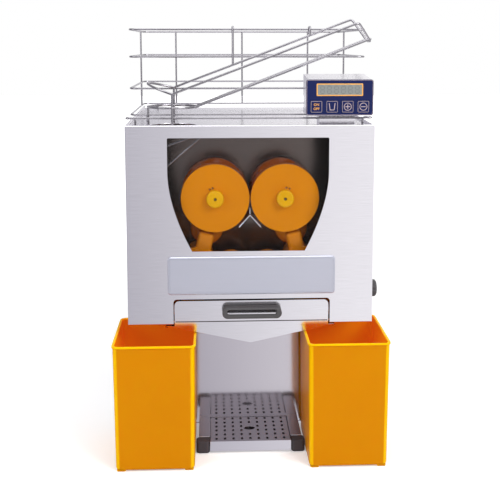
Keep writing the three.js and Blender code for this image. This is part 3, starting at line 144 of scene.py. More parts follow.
class Recipe:
    """The nodes of one material or of the world."""

    def __init__(self, tree: bpy.types.NodeTree) -> None:
        """Start from an empty tree."""
        tree.nodes.clear()
        self.tree = tree

    def node(self, kind: str, settings: dict | None = None, inputs: dict | None = None) -> bpy.types.Node:
        """Add a node.

        Args:
            kind: The node's type.
            settings: Its own settings, which are set first.
            inputs: Values or links of its sockets, by name or number.

        Returns:
            The node.
        """
        made = self.tree.nodes.new(kind)
        for name, value in (settings or {}).items():
            setattr(made, name, value)
        for key, value in (inputs or {}).items():
            self.feed(made.inputs[key], value)
        return made

    def feed(self, socket: bpy.types.NodeSocket, value: object) -> None:
        """Link or set a socket.

        Args:
            socket: The socket that is fed.
            value: A Value, another socket, a number or a colour.
        """
        if isinstance(value, Value):
            value = value.socket
        if isinstance(value, bpy.types.NodeSocket):
            self.tree.links.new(value, socket)
        elif socket.type == "RGBA":
            socket.default_value = (*value, 1.0)
        else:
            socket.default_value = value

    def place(self) -> bpy.types.NodeSocket:
        """Where a point of the piece lies, in metres."""
        return self.node("ShaderNodeTexCoord").outputs["Object"]

    def facing(self) -> list[Value]:
        """Which way the surface faces, along X, Y and Z of the piece."""
        return self.parts(self.node("ShaderNodeTexCoord").outputs["Normal"])

    def rays(self) -> tuple[Value, Value]:
        """Where the ray that meets this point comes from.

        Returns:
            1 for a ray from the camera or through glass, and 1 for one from a mirroring surface.
        """
        path = self.node("ShaderNodeLightPath").outputs
        seen = Value(self, path["Is Camera Ray"]).larger(Value(self, path["Is Transmission Ray"]))
        return seen, Value(self, path["Is Glossy Ray"])

    def parts(self, vector: bpy.types.NodeSocket) -> list[Value]:
        """The three numbers of a vector."""
        split = self.node("ShaderNodeSeparateXYZ", None, {0: vector})
        return [Value(self, socket) for socket in split.outputs]

    def noise(self, scale: float, stretch: Colour = EVEN, detail: float = 2.0) -> Value:
        """Cloudy noise over the piece.

        Args:
            scale: Cells in a metre.
            stretch: Share of that along X, Y and Z.
            detail: Octaves of finer noise.

        Returns:
            Noise from 0 to 1.
        """
        scaled = self.node("ShaderNodeVectorMath", {"operation": "MULTIPLY"},
                           {0: self.place(), 1: tuple(scale * share for share in stretch)})
        cloud = self.node("ShaderNodeTexNoise", None,
                          {"Vector": scaled.outputs[0], "Scale": 1.0, "Detail": detail})
        return Value(self, cloud.outputs[0])

    def mixed(self, mask: Value, first: object, second: object) -> bpy.types.NodeSocket:
        """Blend two colours.

        Args:
            mask: 0 for the first, 1 for the second.
            first: A colour or its socket.
            second: A colour or its socket.

        Returns:
            The blended colour.
        """
        node = self.node("ShaderNodeMix", {"data_type": "RGBA"}, {0: mask, 6: first, 7: second})
        return node.outputs[2]

    def bump(self, height: Value, depth: float, strength: float = 1.0) -> bpy.types.NodeSocket:
        """Turn a height into a bumpy normal.

        Args:
            height: Height from 0 to 1.
            depth: What 1 stands for, in millimetres.
            strength: Share of the effect.

        Returns:
            The normal.
        """
        node = self.node("ShaderNodeBump", None,
                         {"Height": height, "Distance": depth * METRES, "Strength": strength})
        return node.outputs["Normal"]

    def surface(self, inputs: dict) -> None:
        """Finish the material with one surface that has these socket values."""
        shader = self.node("ShaderNodeBsdfPrincipled", None, inputs)
        self.node("ShaderNodeOutputMaterial", None, {"Surface": shader.outputs[0]})


@dataclass(frozen=True)
class Finish:
    """A surface finish: the record's slot that it stands for, and how its material is made."""

    name: str
    slot: str

    def dress(self, recipe: Recipe) -> None:
        """Add the finish's nodes to an empty recipe.

        Args:
            recipe: The empty recipe that they go into.
        """
        raise NotImplementedError

    def material(self) -> bpy.types.Material:
        """Make the material, or find it where it is made already.

        Returns:
            The material.
        """
        known = bpy.data.materials.get(self.name)
        if known:
            return known
        made = bpy.data.materials.new(self.name)
        made.use_nodes = True
        self.dress(Recipe(made.node_tree))
        return made


class Grain(Enum):
    """Which way the fine lines of brushed steel run."""

    ACROSS = (0.02, 1.0, 1.0)
    UPRIGHT = (1.0, 1.0, 0.02)
    DEEP = (1.0, 0.02, 1.0)


def toned(colour: Colour, share: float) -> tuple[Colour, Colour]:
    """A darker tone of a colour, and the colour."""
    return tuple(c * share for c in colour), colour


@dataclass(frozen=True)
class SheetSteel(Finish):
    """Brushed or rolled stainless sheet, with handling marks in its gloss, and where given a painted light on
    the faces turned to the front.
    """

    tone: Colour = (0.86, 0.845, 0.89)
    streak: float = 0.93
    roughness: float = 0.13
    grain: Grain = Grain.ACROSS
    grain_scale: float = 1400.0
    grain_share: float = 0.04
    cloud_scale: float = 7.0
    cloud_share: float = 0.08
    # Paler tone of the faces turned to the front: painted light, a lit copy of the same steel
    painted_front_light: Colour | None = None

    def dress(self, recipe: Recipe) -> None:
        """Add the brushed steel's nodes.

        Args:
            recipe: The empty recipe that they go into.
        """
        lines = recipe.noise(self.grain_scale, self.grain.value, 3.0)
        clouds = recipe.noise(self.cloud_scale, detail=3.0)
        tone = recipe.mixed(lines.eased(0.25, 0.75), *toned(self.tone, self.streak))
        # Painted light: faces turned to the front take the paler tone
        if self.painted_front_light:
            tone = recipe.mixed((0.0 - recipe.facing()[1]).eased(0.3, 0.8), tone, self.painted_front_light)
        recipe.surface({
            "Base Color": tone,
            "Roughness": (self.roughness + (lines - 0.5) * self.grain_share
                          + (clouds - 0.5) * self.cloud_share),
            "Metallic": 1.0,
            "Normal": recipe.bump(lines, 0.004, 0.25),
        })


@dataclass(frozen=True)
class Skin(Finish):
    """Surface of two mixed tones, with an uneven gloss and a fine relief.

    A cloud is a noise: its cells in a metre, their share along X, Y and Z, and its octaves.
    """

    tones: tuple[Colour, Colour]
    mottle: Cloud = (14.0, EVEN, 3.0)
    mottle_span: Flat | None = None
    mottle_share: float = 1.0
    gloss: Flat = (0.3, 0.1)
    gloss_cloud: Cloud | None = None
    scuffs: float = 0.0
    scuff_cloud: Cloud = (90.0, (1.0, 1.0, 0.15), 4.0)
    scuff_span: Flat = (0.56, 0.74)
    relief: Cloud | None = None
    depth: float = 0.01
    strength: float = 0.3
    metallic: float = 0.0
    shine: float = 0.5
    coat: float = 0.0
    coat_roughness: float = 0.03
    clearness: float = 0.0
    ior: float = 1.5

    def dress(self, recipe: Recipe) -> None:
        """Add the surface's nodes.

        Args:
            recipe: The empty recipe that they go into.
        """
        mottle = recipe.noise(*self.mottle)
        roughness = self.gloss[0] + recipe.noise(*(self.gloss_cloud or self.mottle)) * self.gloss[1]
        if self.scuffs:
            roughness += recipe.noise(*self.scuff_cloud).eased(*self.scuff_span) * self.scuffs
        if self.mottle_span:
            mottle = mottle.eased(*self.mottle_span) * self.mottle_share
        inputs = {
            "Base Color": recipe.mixed(mottle, *self.tones),
            "Roughness": roughness,
            "Metallic": self.metallic,
            "Specular IOR Level": self.shine,
            "Coat Weight": self.coat,
            "Coat Roughness": self.coat_roughness,
            "Transmission Weight": self.clearness,
            "IOR": self.ior,
        }
        if self.relief:
            inputs["Normal"] = recipe.bump(recipe.noise(*self.relief), self.depth, self.strength)
        recipe.surface(inputs)


@dataclass(frozen=True)
class Wire(Skin):
    """Polished round wire."""

    tones: tuple[Colour, Colour] = toned((0.33, 0.32, 0.34), 0.86)
    mottle: Cloud = (60.0, EVEN, 3.0)
    gloss: Flat = (0.12, 0.1)
    relief: Cloud = (1500.0, EVEN, 2.0)
    depth: float = 0.005
    strength: float = 0.2
    metallic: float = 1.0


@dataclass(frozen=True)
class Moulding(Skin):
    """Opaque moulded plastic: a faint orange-peel skin and a slightly uneven colour."""

    scuffs: float = 0.06
    relief: Cloud = (900.0, EVEN, 1.0)
    depth: float = 0.02
    strength: float = 0.35


@dataclass(frozen=True)
class Amber(Skin):
    """Translucent moulded plastic, of which light comes out again tinted."""

    mottle: Cloud = (22.0, EVEN, 2.0)
    gloss: Flat = (0.14, 0.12)
    relief: Cloud = (700.0, EVEN, 2.0)
    strength: float = 0.25
    shine: float = 0.2
    ior: float = 1.49


@dataclass(frozen=True)
class Enamel(Skin):
    """Satin plate under a clear lacquer."""

    tones: tuple[Colour, Colour] = toned((0.47, 0.48, 0.56), 0.94)
    mottle: Cloud = (1200.0, Grain.ACROSS.value, 2.0)
    gloss: Flat = (0.26, 0.08)
    gloss_cloud: Cloud = (9.0, EVEN, 3.0)
    relief: Cloud = (1200.0, Grain.ACROSS.value, 2.0)
    depth: float = 0.004
    strength: float = 0.2
    metallic: float = 0.4
    coat: float = 0.25
    coat_roughness: float = 0.08


@dataclass(frozen=True)
class Rubber(Skin):
    """Dull black rubber with a fine pitted skin and patches of dust."""

    tones: tuple[Colour, Colour] = ((0.004, 0.0035, 0.005), (0.05, 0.046, 0.05))
    mottle: Cloud = (50.0, EVEN, 4.0)
    mottle_span: Flat = (0.45, 0.8)
    mottle_share: float = 0.12
    gloss: Flat = (0.5, 0.2)
    gloss_cloud: Cloud = (1100.0, EVEN, 2.0)
    relief: Cloud = (1100.0, EVEN, 2.0)
    depth: float = 0.05
    strength: float = 0.5
    shine: float = 0.06


@dataclass(frozen=True)
class CastMetal(Skin):
    """Sand-cast aluminium, or a painted casting: pebbly skin with darker hollows."""

    tones: tuple[Colour, Colour] = toned((0.45, 0.46, 0.48), 0.7)
    mottle: Cloud = (420.0, EVEN, 3.0)
    mottle_span: Flat = (0.3, 0.6)
    gloss: Flat = (0.45, 0.2)
    gloss_cloud: Cloud = (18.0, EVEN, 3.0)
    relief: Cloud = (420.0, EVEN, 3.0)
    depth: float = 0.25
    strength: float = 0.6
    metallic: float = 0.8


@dataclass(frozen=True)
class Machined(Skin):
    """Turned or ground metal with fine tool lines across its axis."""

    tones: tuple[Colour, Colour] = toned((0.6, 0.6, 0.62), 0.8)
    mottle: Cloud = (40.0, EVEN, 3.0)
    gloss: Flat = (0.24, 0.12)
    gloss_cloud: Cloud = (1500.0, (0.1, 1.0, 0.1), 2.0)
    relief: Cloud = (1500.0, (0.1, 1.0, 0.1), 2.0)
    metallic: float = 1.0


@dataclass(frozen=True)
class Membrane(Skin):
    """Printed film with a fine embossed texture."""

    mottle: Cloud = (30.0, EVEN, 2.0)
    gloss: Flat = (0.34, 0.12)
    gloss_cloud: Cloud = (2200.0, EVEN, 1.0)
    relief: Cloud = (2200.0, EVEN, 1.0)
    depth: float = 0.02
    shine: float = 0.2


@dataclass(frozen=True)
class Crystal(Skin):
    """Grey display glass over faint rows of dots."""

    tones: tuple[Colour, Colour] = toned((0.24, 0.255, 0.245), 0.8)
    mottle: Cloud = (900.0, (0.05, 1.0, 1.0), 2.0)
    gloss: Flat = (0.16, 0.06)
    coat: float = 0.4


@dataclass(frozen=True)
class BinPlastic(Moulding):
    """Moulding with a painted highlight in a paler colour on its rim and outer upright corners, and walls
    that let light through to the inside, with a painted glow on the inner walls as well.

    middle is where a bin stands beside the middle of the juicer, and rim is where its rim starts, and with it
    the painted highlight on the rim.
    """

    tones: tuple[Colour, Colour] = ((0.55, 0.2, 0.0), (0.58, 0.225, 0.0))
    gloss: Flat = (0.36, 0.08)
    shine: float = 0.05
    # Colour of the painted highlight on the rim and on the outer upright corners
    edge: Colour = (0.87, 0.48, 0.0)
    # Colour of the painted glow on the inner walls, standing in for light that comes through them
    through: Colour = (0.24, 0.032, 0.003)
    middle: Flat = (0.1645, -0.18)
    rim: Flat = (0.2158, 0.2168)
    # Where the painted highlight on the corners starts and where it is full
    highlight_corner_span: Flat = (0.22, 0.48)
    depth_of_light: Colour = (0.016, 0.006, 0.002)

    def dress(self, recipe: Recipe) -> None:
        """Add the bin plastic's nodes.

        Args:
            recipe: The empty recipe that they go into.
        """
        clouds = recipe.noise(*self.mottle)
        scuffs = recipe.noise(*self.scuff_cloud).eased(*self.scuff_span)
        x, y, z = recipe.parts(recipe.place())
        across, deep, _ = recipe.facing()
        # Which faces are inner walls, the ones that get the painted glow
        outward = across * (x / x.size()) * (x.size() - self.middle[0]) + deep * (y - self.middle[1])
        inside = (0.0 - outward).eased(0.0, 0.02)
        # Painted highlight on the outer upright corners and on the rim
        corners = (across * deep).size().eased(*self.highlight_corner_span)
        edges = z.eased(*self.rim).larger(corners * (1.0 - inside))
        recipe.surface({
            "Base Color": recipe.mixed(edges, recipe.mixed(clouds, *self.tones), self.edge),
            "Roughness": self.gloss[0] + clouds * self.gloss[1] + scuffs * self.scuffs,
            "Specular IOR Level": self.shine,
            "Subsurface Weight": 0.3,
            "Subsurface Radius": self.depth_of_light,
            "Subsurface Scale": 1.0,
            # Painted glow on the inner walls
            "Emission Color": recipe.mixed(inside, BLACK, self.through),
            "Emission Strength": 1.0,
            "Normal": recipe.bump(recipe.noise(*self.relief), self.depth, self.strength),
        })


@dataclass(frozen=True)
class ClearSheet(Finish):
    """Clear pane with a faint tint and wiped smears."""

    tint: Colour = (0.03, 0.028, 0.027)
    density: float = 0.06
    smear_share: float = 0.05

    def dress(self, recipe: Recipe) -> None:
        """Add the pane's nodes.

        Args:
            recipe: The empty recipe that they go into.
        """
        smears = recipe.noise(16.0, (1.0, 1.0, 0.3), 4.0)
        recipe.surface({
            "Base Color": self.tint,
            "Roughness": 0.03 + smears.eased(0.4, 0.8) * 0.07,
            "Specular IOR Level": 0.3,
            "Alpha": self.density + smears * self.smear_share,
            "Normal": recipe.bump(recipe.noise(6.0, detail=0.0), 0.05, 0.1),
        })


DOOR_STEEL = SheetSteel("door_steel", "stainless")
SIDE_STEEL = SheetSteel("side_steel", "stainless", roughness=0.2, grain=Grain.DEEP)
COLUMN_STEEL = SheetSteel("column_steel", "stainless", tone=(0.64, 0.61, 0.66), streak=0.98,
                          roughness=0.1, grain=Grain.UPRIGHT, grain_share=0.02)
BACK_STEEL = SheetSteel("back_steel", "stainless", tone=(0.17, 0.14, 0.13), roughness=0.2,
                        grain=Grain.UPRIGHT)
# The base's faces turned to the front carry a painted light
BASE_STEEL = SheetSteel("base_steel", "stainless", tone=(0.36, 0.33, 0.36), roughness=0.3,
                        grain=Grain.DEEP, painted_front_light=(0.7, 0.68, 0.74))
GRID_STEEL = SheetSteel("grid_steel", "dark_stainless", tone=(0.37, 0.34, 0.37), roughness=0.34,
                        grain=Grain.ACROSS)
PAN_STEEL = SheetSteel("pan_steel", "dark_stainless", tone=(0.3, 0.29, 0.31), roughness=0.4)
CHROME = Wire("polished_wire", "wire")
BLADE = Machined("blade_steel", "blade_steel", gloss=(0.14, 0.12))
SHAFT = Machined("shaft_steel", "shaft_steel")
GEAR = Machined("gear_metal", "gear_metal", toned((0.55, 0.42, 0.2), 0.8))
CUP_PLASTIC = Amber("cup_amber", "cup_plastic", toned((0.7, 0.15, 0.003), 0.88), clearness=0.12)
BALL_PLASTIC = Amber("ball_amber", "yellow_plastic", toned((0.82, 0.27, 0.003), 0.88), clearness=0.1)
DISC_PLASTIC = Moulding("disc_yellow", "yellow_plastic", ((0.66, 0.215, 0.002), (0.72, 0.25, 0.002)),
                        gloss=(0.26, 0.08), shine=0.06)
KNOB_PLASTIC = Moulding("knob_yellow", "knob_plastic", ((0.7, 0.35, 0.004), (0.75, 0.4, 0.004)),
                        gloss=(0.22, 0.08), shine=0.08)
BIN_PLASTIC = BinPlastic("bin_orange", "bin_plastic")
BLACK_PLASTIC = Moulding("black_plastic", "black_plastic", ((0.009, 0.008, 0.009), (0.006, 0.005, 0.006)),
                         gloss=(0.16, 0.08), depth=0.008, shine=0.14)
FOOT_RUBBER = Rubber("foot_rubber", "foot_rubber")
PANE = ClearSheet("window_pane_clear", "window")
PLATE = Enamel("plate_satin", "plate")
CAST = CastMetal("case_casting", "cast")
MOTOR_PAINT = CastMetal("motor_paint", "motor_paint", toned((0.09, 0.1, 0.115), 0.7), metallic=0.1)
NAVY = Membrane("panel_navy", "blue_plastic", toned((0.005, 0.011, 0.075), 0.85))
PALE_INK = Membrane("panel_pale_ink", "blue_plastic", toned((0.45, 0.36, 0.38), 0.85))
AMBER_INK = Membrane("panel_amber_ink", "blue_plastic", toned((0.85, 0.4, 0.09), 0.85))
CRYSTAL = Crystal("display_crystal", "display_glass")
SEGMENT_INK = Membrane("display_segments", "display_glass", toned((0.16, 0.17, 0.165), 0.85))


class Axis(Enum):
    """The axis that a section is carried along."""

    X = 0
    Y = 1
    Z = 2

    def point(self, along: float, first: float, second: float) -> Vector:
        """Place a point of a section.

        Args:
            along: Its place along this axis.
            first: Its place along the first of the two other axes.
            second: Its place along the second.

        Returns:
            The point.
        """
        rest = [first, second]
        rest.insert(self.value, along)
        return Vector(rest)


def rounded(low: Flat, high: Flat, radius: float, steps: int = 6) -> list[Flat]:
    """Outline of a rectangle with rounded corners.

    Args:
        low: Its lowest corner.
        high: Its highest corner.
        radius: Radius of the corners.
        steps: Steps in each corner.

    Returns:
        The outline, anticlockwise.
    """
    outline = []
    for quarter, (a, b) in enumerate([(high[0], low[1]), (high[0], high[1]), (low[0], high[1]),
                                      (low[0], low[1])]):
        centre_a = a - radius if a == high[0] else a + radius
        centre_b = b - radius if b == high[1] else b + radius
        for step in range(steps + 1):
            turn = math.pi / 2 * (quarter - 1 + step / steps)
            outline.append((centre_a + radius * math.cos(turn), centre_b + radius * math.sin(turn)))
    return outline


def bezier(start: Flat, first: Flat, second: Flat, end: Flat, steps: int) -> list[Flat]:
    """Points on a curve, its start left out.

    Args:
        start: Where it starts.
        first: Its first handle.
        second: Its second handle.
        end: Where it ends.
        steps: Steps on the way.

    Returns:
        The points.
    """
    points = []
    for step in range(1, steps + 1):
        t = step / steps
        shares = ((1 - t) ** 3, 3 * t * (1 - t) ** 2, 3 * t * t * (1 - t), t ** 3)
        points.append(tuple(sum(share * place[i] for share, place in zip(shares, (start, first, second, end)))
                            for i in (0, 1)))
    return points


def bent(corners: list[Point] | tuple[Point, ...], reach: float, loop: bool = False,
         steps: int = 7) -> list[Vector]:
    """Straight runs of wire with every corner bent.

    Args:
        corners: The corners that the runs would meet at.
        reach: How far from a corner its bend starts.
        loop: Whether the last run returns to the first corner.
        steps: Steps in a bend.

    Returns:
        The middle line of the wire.
    """
    points = [Vector(corner) for corner in corners]
    count = len(points)
    path = [] if loop else [points[0]]
    for i in range(0 if loop else 1, count if loop else count - 1):
        here = points[i]
        back, ahead = points[i - 1] - here, points[(i + 1) % count] - here
        room = min(reach, back.length / 2, ahead.length / 2)
        start, end = here + back.normalized() * room, here + ahead.normalized() * room
        for step in range(steps + 1):
            t = step / steps
            path.append(start * (1 - t) ** 2 + here * 2 * t * (1 - t) + end * t * t)
    if not loop:
        path.append(points[-1])
    return path


class Blank:
    """A form in millimetres, before it becomes a piece."""

    def __init__(self) -> None:
        """Start with nothing."""
        self.bm = bmesh.new()

    def loft(self, rings: list[list[Vector]], loop: bool = False) -> "Blank":
        """Skin between rings of as many points each.

        Args:
            rings: The rings, in order.
            loop: Whether the last ring meets the first; else the ends are closed.

        Returns:
            This blank.
        """
        made = [[self.bm.verts.new(point) for point in ring] for ring in rings]
        count = len(made[0])
        pairs = list(zip(made, made[1:])) + ([(made[-1], made[0])] if loop else [])
        faces = [self.bm.faces.new((lower[i], lower[(i + 1) % count], upper[(i + 1) % count], upper[i]))
                 for lower, upper in pairs for i in range(count)]
        if not loop:
            faces += [self.bm.faces.new(made[0][::-1]), self.bm.faces.new(made[-1])]
        bmesh.ops.recalc_face_normals(self.bm, faces=faces)
        return self

    def prism(self, outline: list[Flat], axis: Axis, start: float, end: float) -> "Blank":
        """Carry an outline along an axis.

        Args:
            outline: The section.
            axis: The axis.
            start: Where it starts.
            end: Where it ends.

        Returns:
            This blank.
        """
        return self.loft([[axis.point(along, a, b) for a, b in outline] for along in (start, end)])

    def box(self, low: Point, high: Point) -> "Blank":
        """Add a block between two corners."""
        outline = [(low[0], low[1]), (high[0], low[1]), (high[0], high[1]), (low[0], high[1])]
        return self.prism(outline, Axis.Z, low[2], high[2])

    def turned(self, profile: list[Flat] | tuple[Flat, ...], centre: Flat, axis: Axis, steps: int = 64,
               flutes: int = 0, flute_depth: float = 0.0) -> "Blank":
        """Turn a profile round an axis.

        Args:
            profile: Places along the axis, each with its radius.
            centre: Where the axis stands.
            axis: The axis.
            steps: Steps round it.
            flutes: Hollows round the rim.
            flute_depth: How deep they are.

        Returns:
            This blank.
        """
        rings = []
        for along, radius in profile:
            ring = []
            for step in range(steps):
                turn = 2 * math.pi * step / steps
                reach = radius - flute_depth * (0.5 + 0.5 * math.cos(flutes * turn)) if flutes else radius
                ring.append(axis.point(along, centre[0] + reach * math.cos(turn),
                                       centre[1] + reach * math.sin(turn)))
            rings.append(ring)
        return self.loft(rings)

    def rod(self, start: float, end: float, radius: float, centre: Flat, axis: Axis,
            steps: int = 64) -> "Blank":
        """Add a round bar along an axis.

        Args:
            start: Where it starts.
            end: Where it ends.
            radius: Its radius.
            centre: Where its axis stands.
            axis: The axis.
            steps: Steps round it.

        Returns:
            This blank.
        """
        return self.turned([(start, radius), (end, radius)], centre, axis, steps)

    def ball(self, centre: Vector, radius: float, steps: int = 48) -> "Blank":
        """Add a ball of a radius round a point."""
        bmesh.ops.create_uvsphere(self.bm, u_segments=steps, v_segments=steps // 2, radius=radius,
                                  matrix=Matrix.Translation(centre))
        return self

    def tube(self, path: list[Vector], radius: float, loop: bool = False, sides: int = 12) -> "Blank":
        """Carry a round section along a path, with domed ends where it is open.

        Args:
            path: The middle line.
            radius: Radius of the section.
            loop: Whether the path is closed.
            sides: Sides of the section.

        Returns:
            This blank.
        """
        count = len(path)
        tangents = []
        for i, here in enumerate(path):
            before = path[i - 1] if loop or i else here
            after = path[(i + 1) % count] if loop or i < count - 1 else here
            tangents.append((after - before).normalized())
        normals = [tangents[0].orthogonal().normalized()]
        for last, tangent in zip(tangents, tangents[1:]):
            carried = last.rotation_difference(tangent) @ normals[-1]
            normals.append((carried - tangent * carried.dot(tangent)).normalized())
        twist = 0.0
        if loop:
            carried = tangents[-1].rotation_difference(tangents[0]) @ normals[-1]
            twist = math.atan2(carried.cross(normals[0]).dot(tangents[0]), carried.dot(normals[0]))

        def ring(i: int, shift: float, size: float) -> list[Vector]:
            """Draw one ring of the tube.

            Args:
                i: The point of the path that it goes round.
                shift: How far it is moved along the path.
                size: Its radius.

            Returns:
                The ring.
            """
            across, up = normals[i], tangents[i].cross(normals[i])
            centre = path[i] + tangents[i] * shift
            turns = [2 * math.pi * side / sides + twist * i / count for side in range(sides)]
            return [centre + (across * math.cos(turn) + up * math.sin(turn)) * size for turn in turns]

        rings = [ring(i, 0.0, radius) for i in range(count)]
        if not loop:
            domes = [(math.sin(turn) * radius, math.cos(turn) * radius) for turn in (0.5, 1.0, 1.35)]
            rings = [ring(0, -shift, size) for shift, size in reversed(domes)] + rings
            rings += [ring(count - 1, shift, size) for shift, size in domes]
        return self.loft(rings, loop)

    def lettering(self, words: str, size: float, centre: Flat, face: float, rise: float) -> "Blank":
        """Add plain words that face the front.

        Args:
            words: The words.
            size: Their size.
            centre: Their middle in X and Z.
            face: The surface that they stand on, in Y.
            rise: How far they stand proud of it.

        Returns:
            This blank.
        """
        curve = bpy.data.curves.new("words", "FONT")
        curve.body, curve.size, curve.extrude, curve.offset = words, size, rise / 2, 0.012 * size
        curve.align_x, curve.align_y = "CENTER", "CENTER"
        stand = bpy.data.objects.new("words", curve)
        mesh = self._evaluated(stand)
        mesh.transform(Matrix.Translation((centre[0], face - rise / 2, centre[1]))
                       @ Matrix.Rotation(math.pi / 2, 4, "X"))
        self.bm.from_mesh(mesh)
        bpy.data.meshes.remove(mesh)
        return self

    def cut(self, tool: "Blank") -> "Blank":
        """Take another blank away from this one."""
        return self._combined(tool, "DIFFERENCE")

    def pierce(self, outline: list[Flat], axis: Axis, start: float, end: float) -> "Blank":
        """Cut an outline right through this blank.

        Args:
            outline: The outline of the opening.
            axis: The axis that it is cut along.
            start: Where the blank starts there.
            end: Where it ends there.

        Returns:
            This blank.
        """
        return self.cut(Blank().prism(outline, axis, start - PAST, end + PAST))

    def join(self, tool: "Blank") -> "Blank":
        """Make one solid of this blank and another."""
        return self._combined(tool, "UNION")

    def ease(self, width: float, segments: int = 2, angle: float = 32.0) -> "Blank":
        """Round the edges off.

        Args:
            width: Width of the rounding.
            segments: Steps in it.
            angle: The least angle of an edge that is rounded, in degrees.

        Returns:
            This blank.
        """
        bmesh.ops.dissolve_limit(self.bm, angle_limit=math.radians(0.4), verts=self.bm.verts[:],
                                 edges=self.bm.edges[:])
        stand = self._stand()
        bevel = stand.modifiers.new("Edges", "BEVEL")
        bevel.width, bevel.segments = width, segments
        bevel.limit_method, bevel.angle_limit = "ANGLE", math.radians(angle)
        bevel.miter_outer = "MITER_ARC"
        return self._refill(stand)

    def piece(self, name: str, finish: Finish, body: str,
              replaces: tuple[str, ...] = ()) -> bpy.types.Object:
        """Turn the blank into a piece of the juicer.

        Args:
            name: The piece's name.
            finish: Its finish.
            body: The moving body that it rides on.
            replaces: Nodes of the frame that it stands for.

        Returns:
            The piece.
        """
        mesh = bpy.data.meshes.new(name)
        self.bm.to_mesh(mesh)
        self.bm.free()
        mesh.transform(Matrix.Scale(METRES, 4))
        mesh.shade_smooth()
        mesh.set_sharp_from_angle(angle=SHARP_EDGE)
        mesh.materials.append(finish.material())
        made = bpy.data.objects.new(name, mesh)
        bpy.context.scene.collection.objects.link(made)
        made.modifiers.new("Normals", "WEIGHTED_NORMAL").keep_sharp = True
        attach(made, body)
        if replaces:
            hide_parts(*replaces)
        return made

    def _stand(self) -> bpy.types.Object:
        """A loose object with this form, for a modifier.

        Returns:
            The object.
        """
        mesh = bpy.data.meshes.new("blank")
        self.bm.to_mesh(mesh)
        return bpy.data.objects.new("blank", mesh)

    def _combined(self, tool: "Blank", operation: str) -> "Blank":
        """Work this blank with another.

        Args:
            tool: The other blank, which is used up.
            operation: DIFFERENCE or UNION.

        Returns:
            This blank.
        """
        stand, other = self._stand(), tool._stand()
        tool.bm.free()
        bpy.context.scene.collection.objects.link(other)
        modifier = stand.modifiers.new("Work", "BOOLEAN")
        modifier.operation, modifier.solver, modifier.object = operation, "EXACT", other
        self._refill(stand)
        bpy.data.meshes.remove(other.data)
        return self

    def _refill(self, stand: bpy.types.Object) -> "Blank":
        """Take the form of a loose object whose modifiers have run.

        Args:
            stand: The loose object.

        Returns:
            This blank.
        """
        mesh = self._evaluated(stand)
        self.bm.clear()
        self.bm.from_mesh(mesh)
        bpy.data.meshes.remove(mesh)
        return self

    @staticmethod
    def _evaluated(stand: bpy.types.Object) -> bpy.types.Mesh:
        """Mesh of a loose object with its modifiers, and the object removed.

        Args:
            stand: The loose object.

        Returns:
            Its mesh.
        """
        bpy.context.scene.collection.objects.link(stand)
        mesh = bpy.data.meshes.new_from_object(stand.evaluated_get(bpy.context.evaluated_depsgraph_get()))
        source = stand.data
        bpy.data.objects.remove(stand)
        (bpy.data.meshes if isinstance(source, bpy.types.Mesh) else bpy.data.curves).remove(source)
        return mesh


def keep(node: str, finish: Finish, edge: float = 0.35) -> bpy.types.Object:
    """Dress a node of the frame that stays, and soften its edges.

    Args:
        node: The node's name.
        finish: Its finish.
        edge: Width of the softened edges.

    Returns:
        The node's object.
    """
    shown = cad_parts[node]
    for place in shown.material_slots:
        place.material = finish.material()
    shown.modifiers.new("Weld", "WELD").merge_threshold = METRES * METRES
    bevel = shown.modifiers.new("Edges", "BEVEL")
    bevel.width, bevel.segments = edge * METRES, 2
    bevel.limit_method, bevel.angle_limit = "ANGLE", math.radians(35)
    shown.modifiers.new("Normals", "WEIGHTED_NORMAL").keep_sharp = True
    return shown


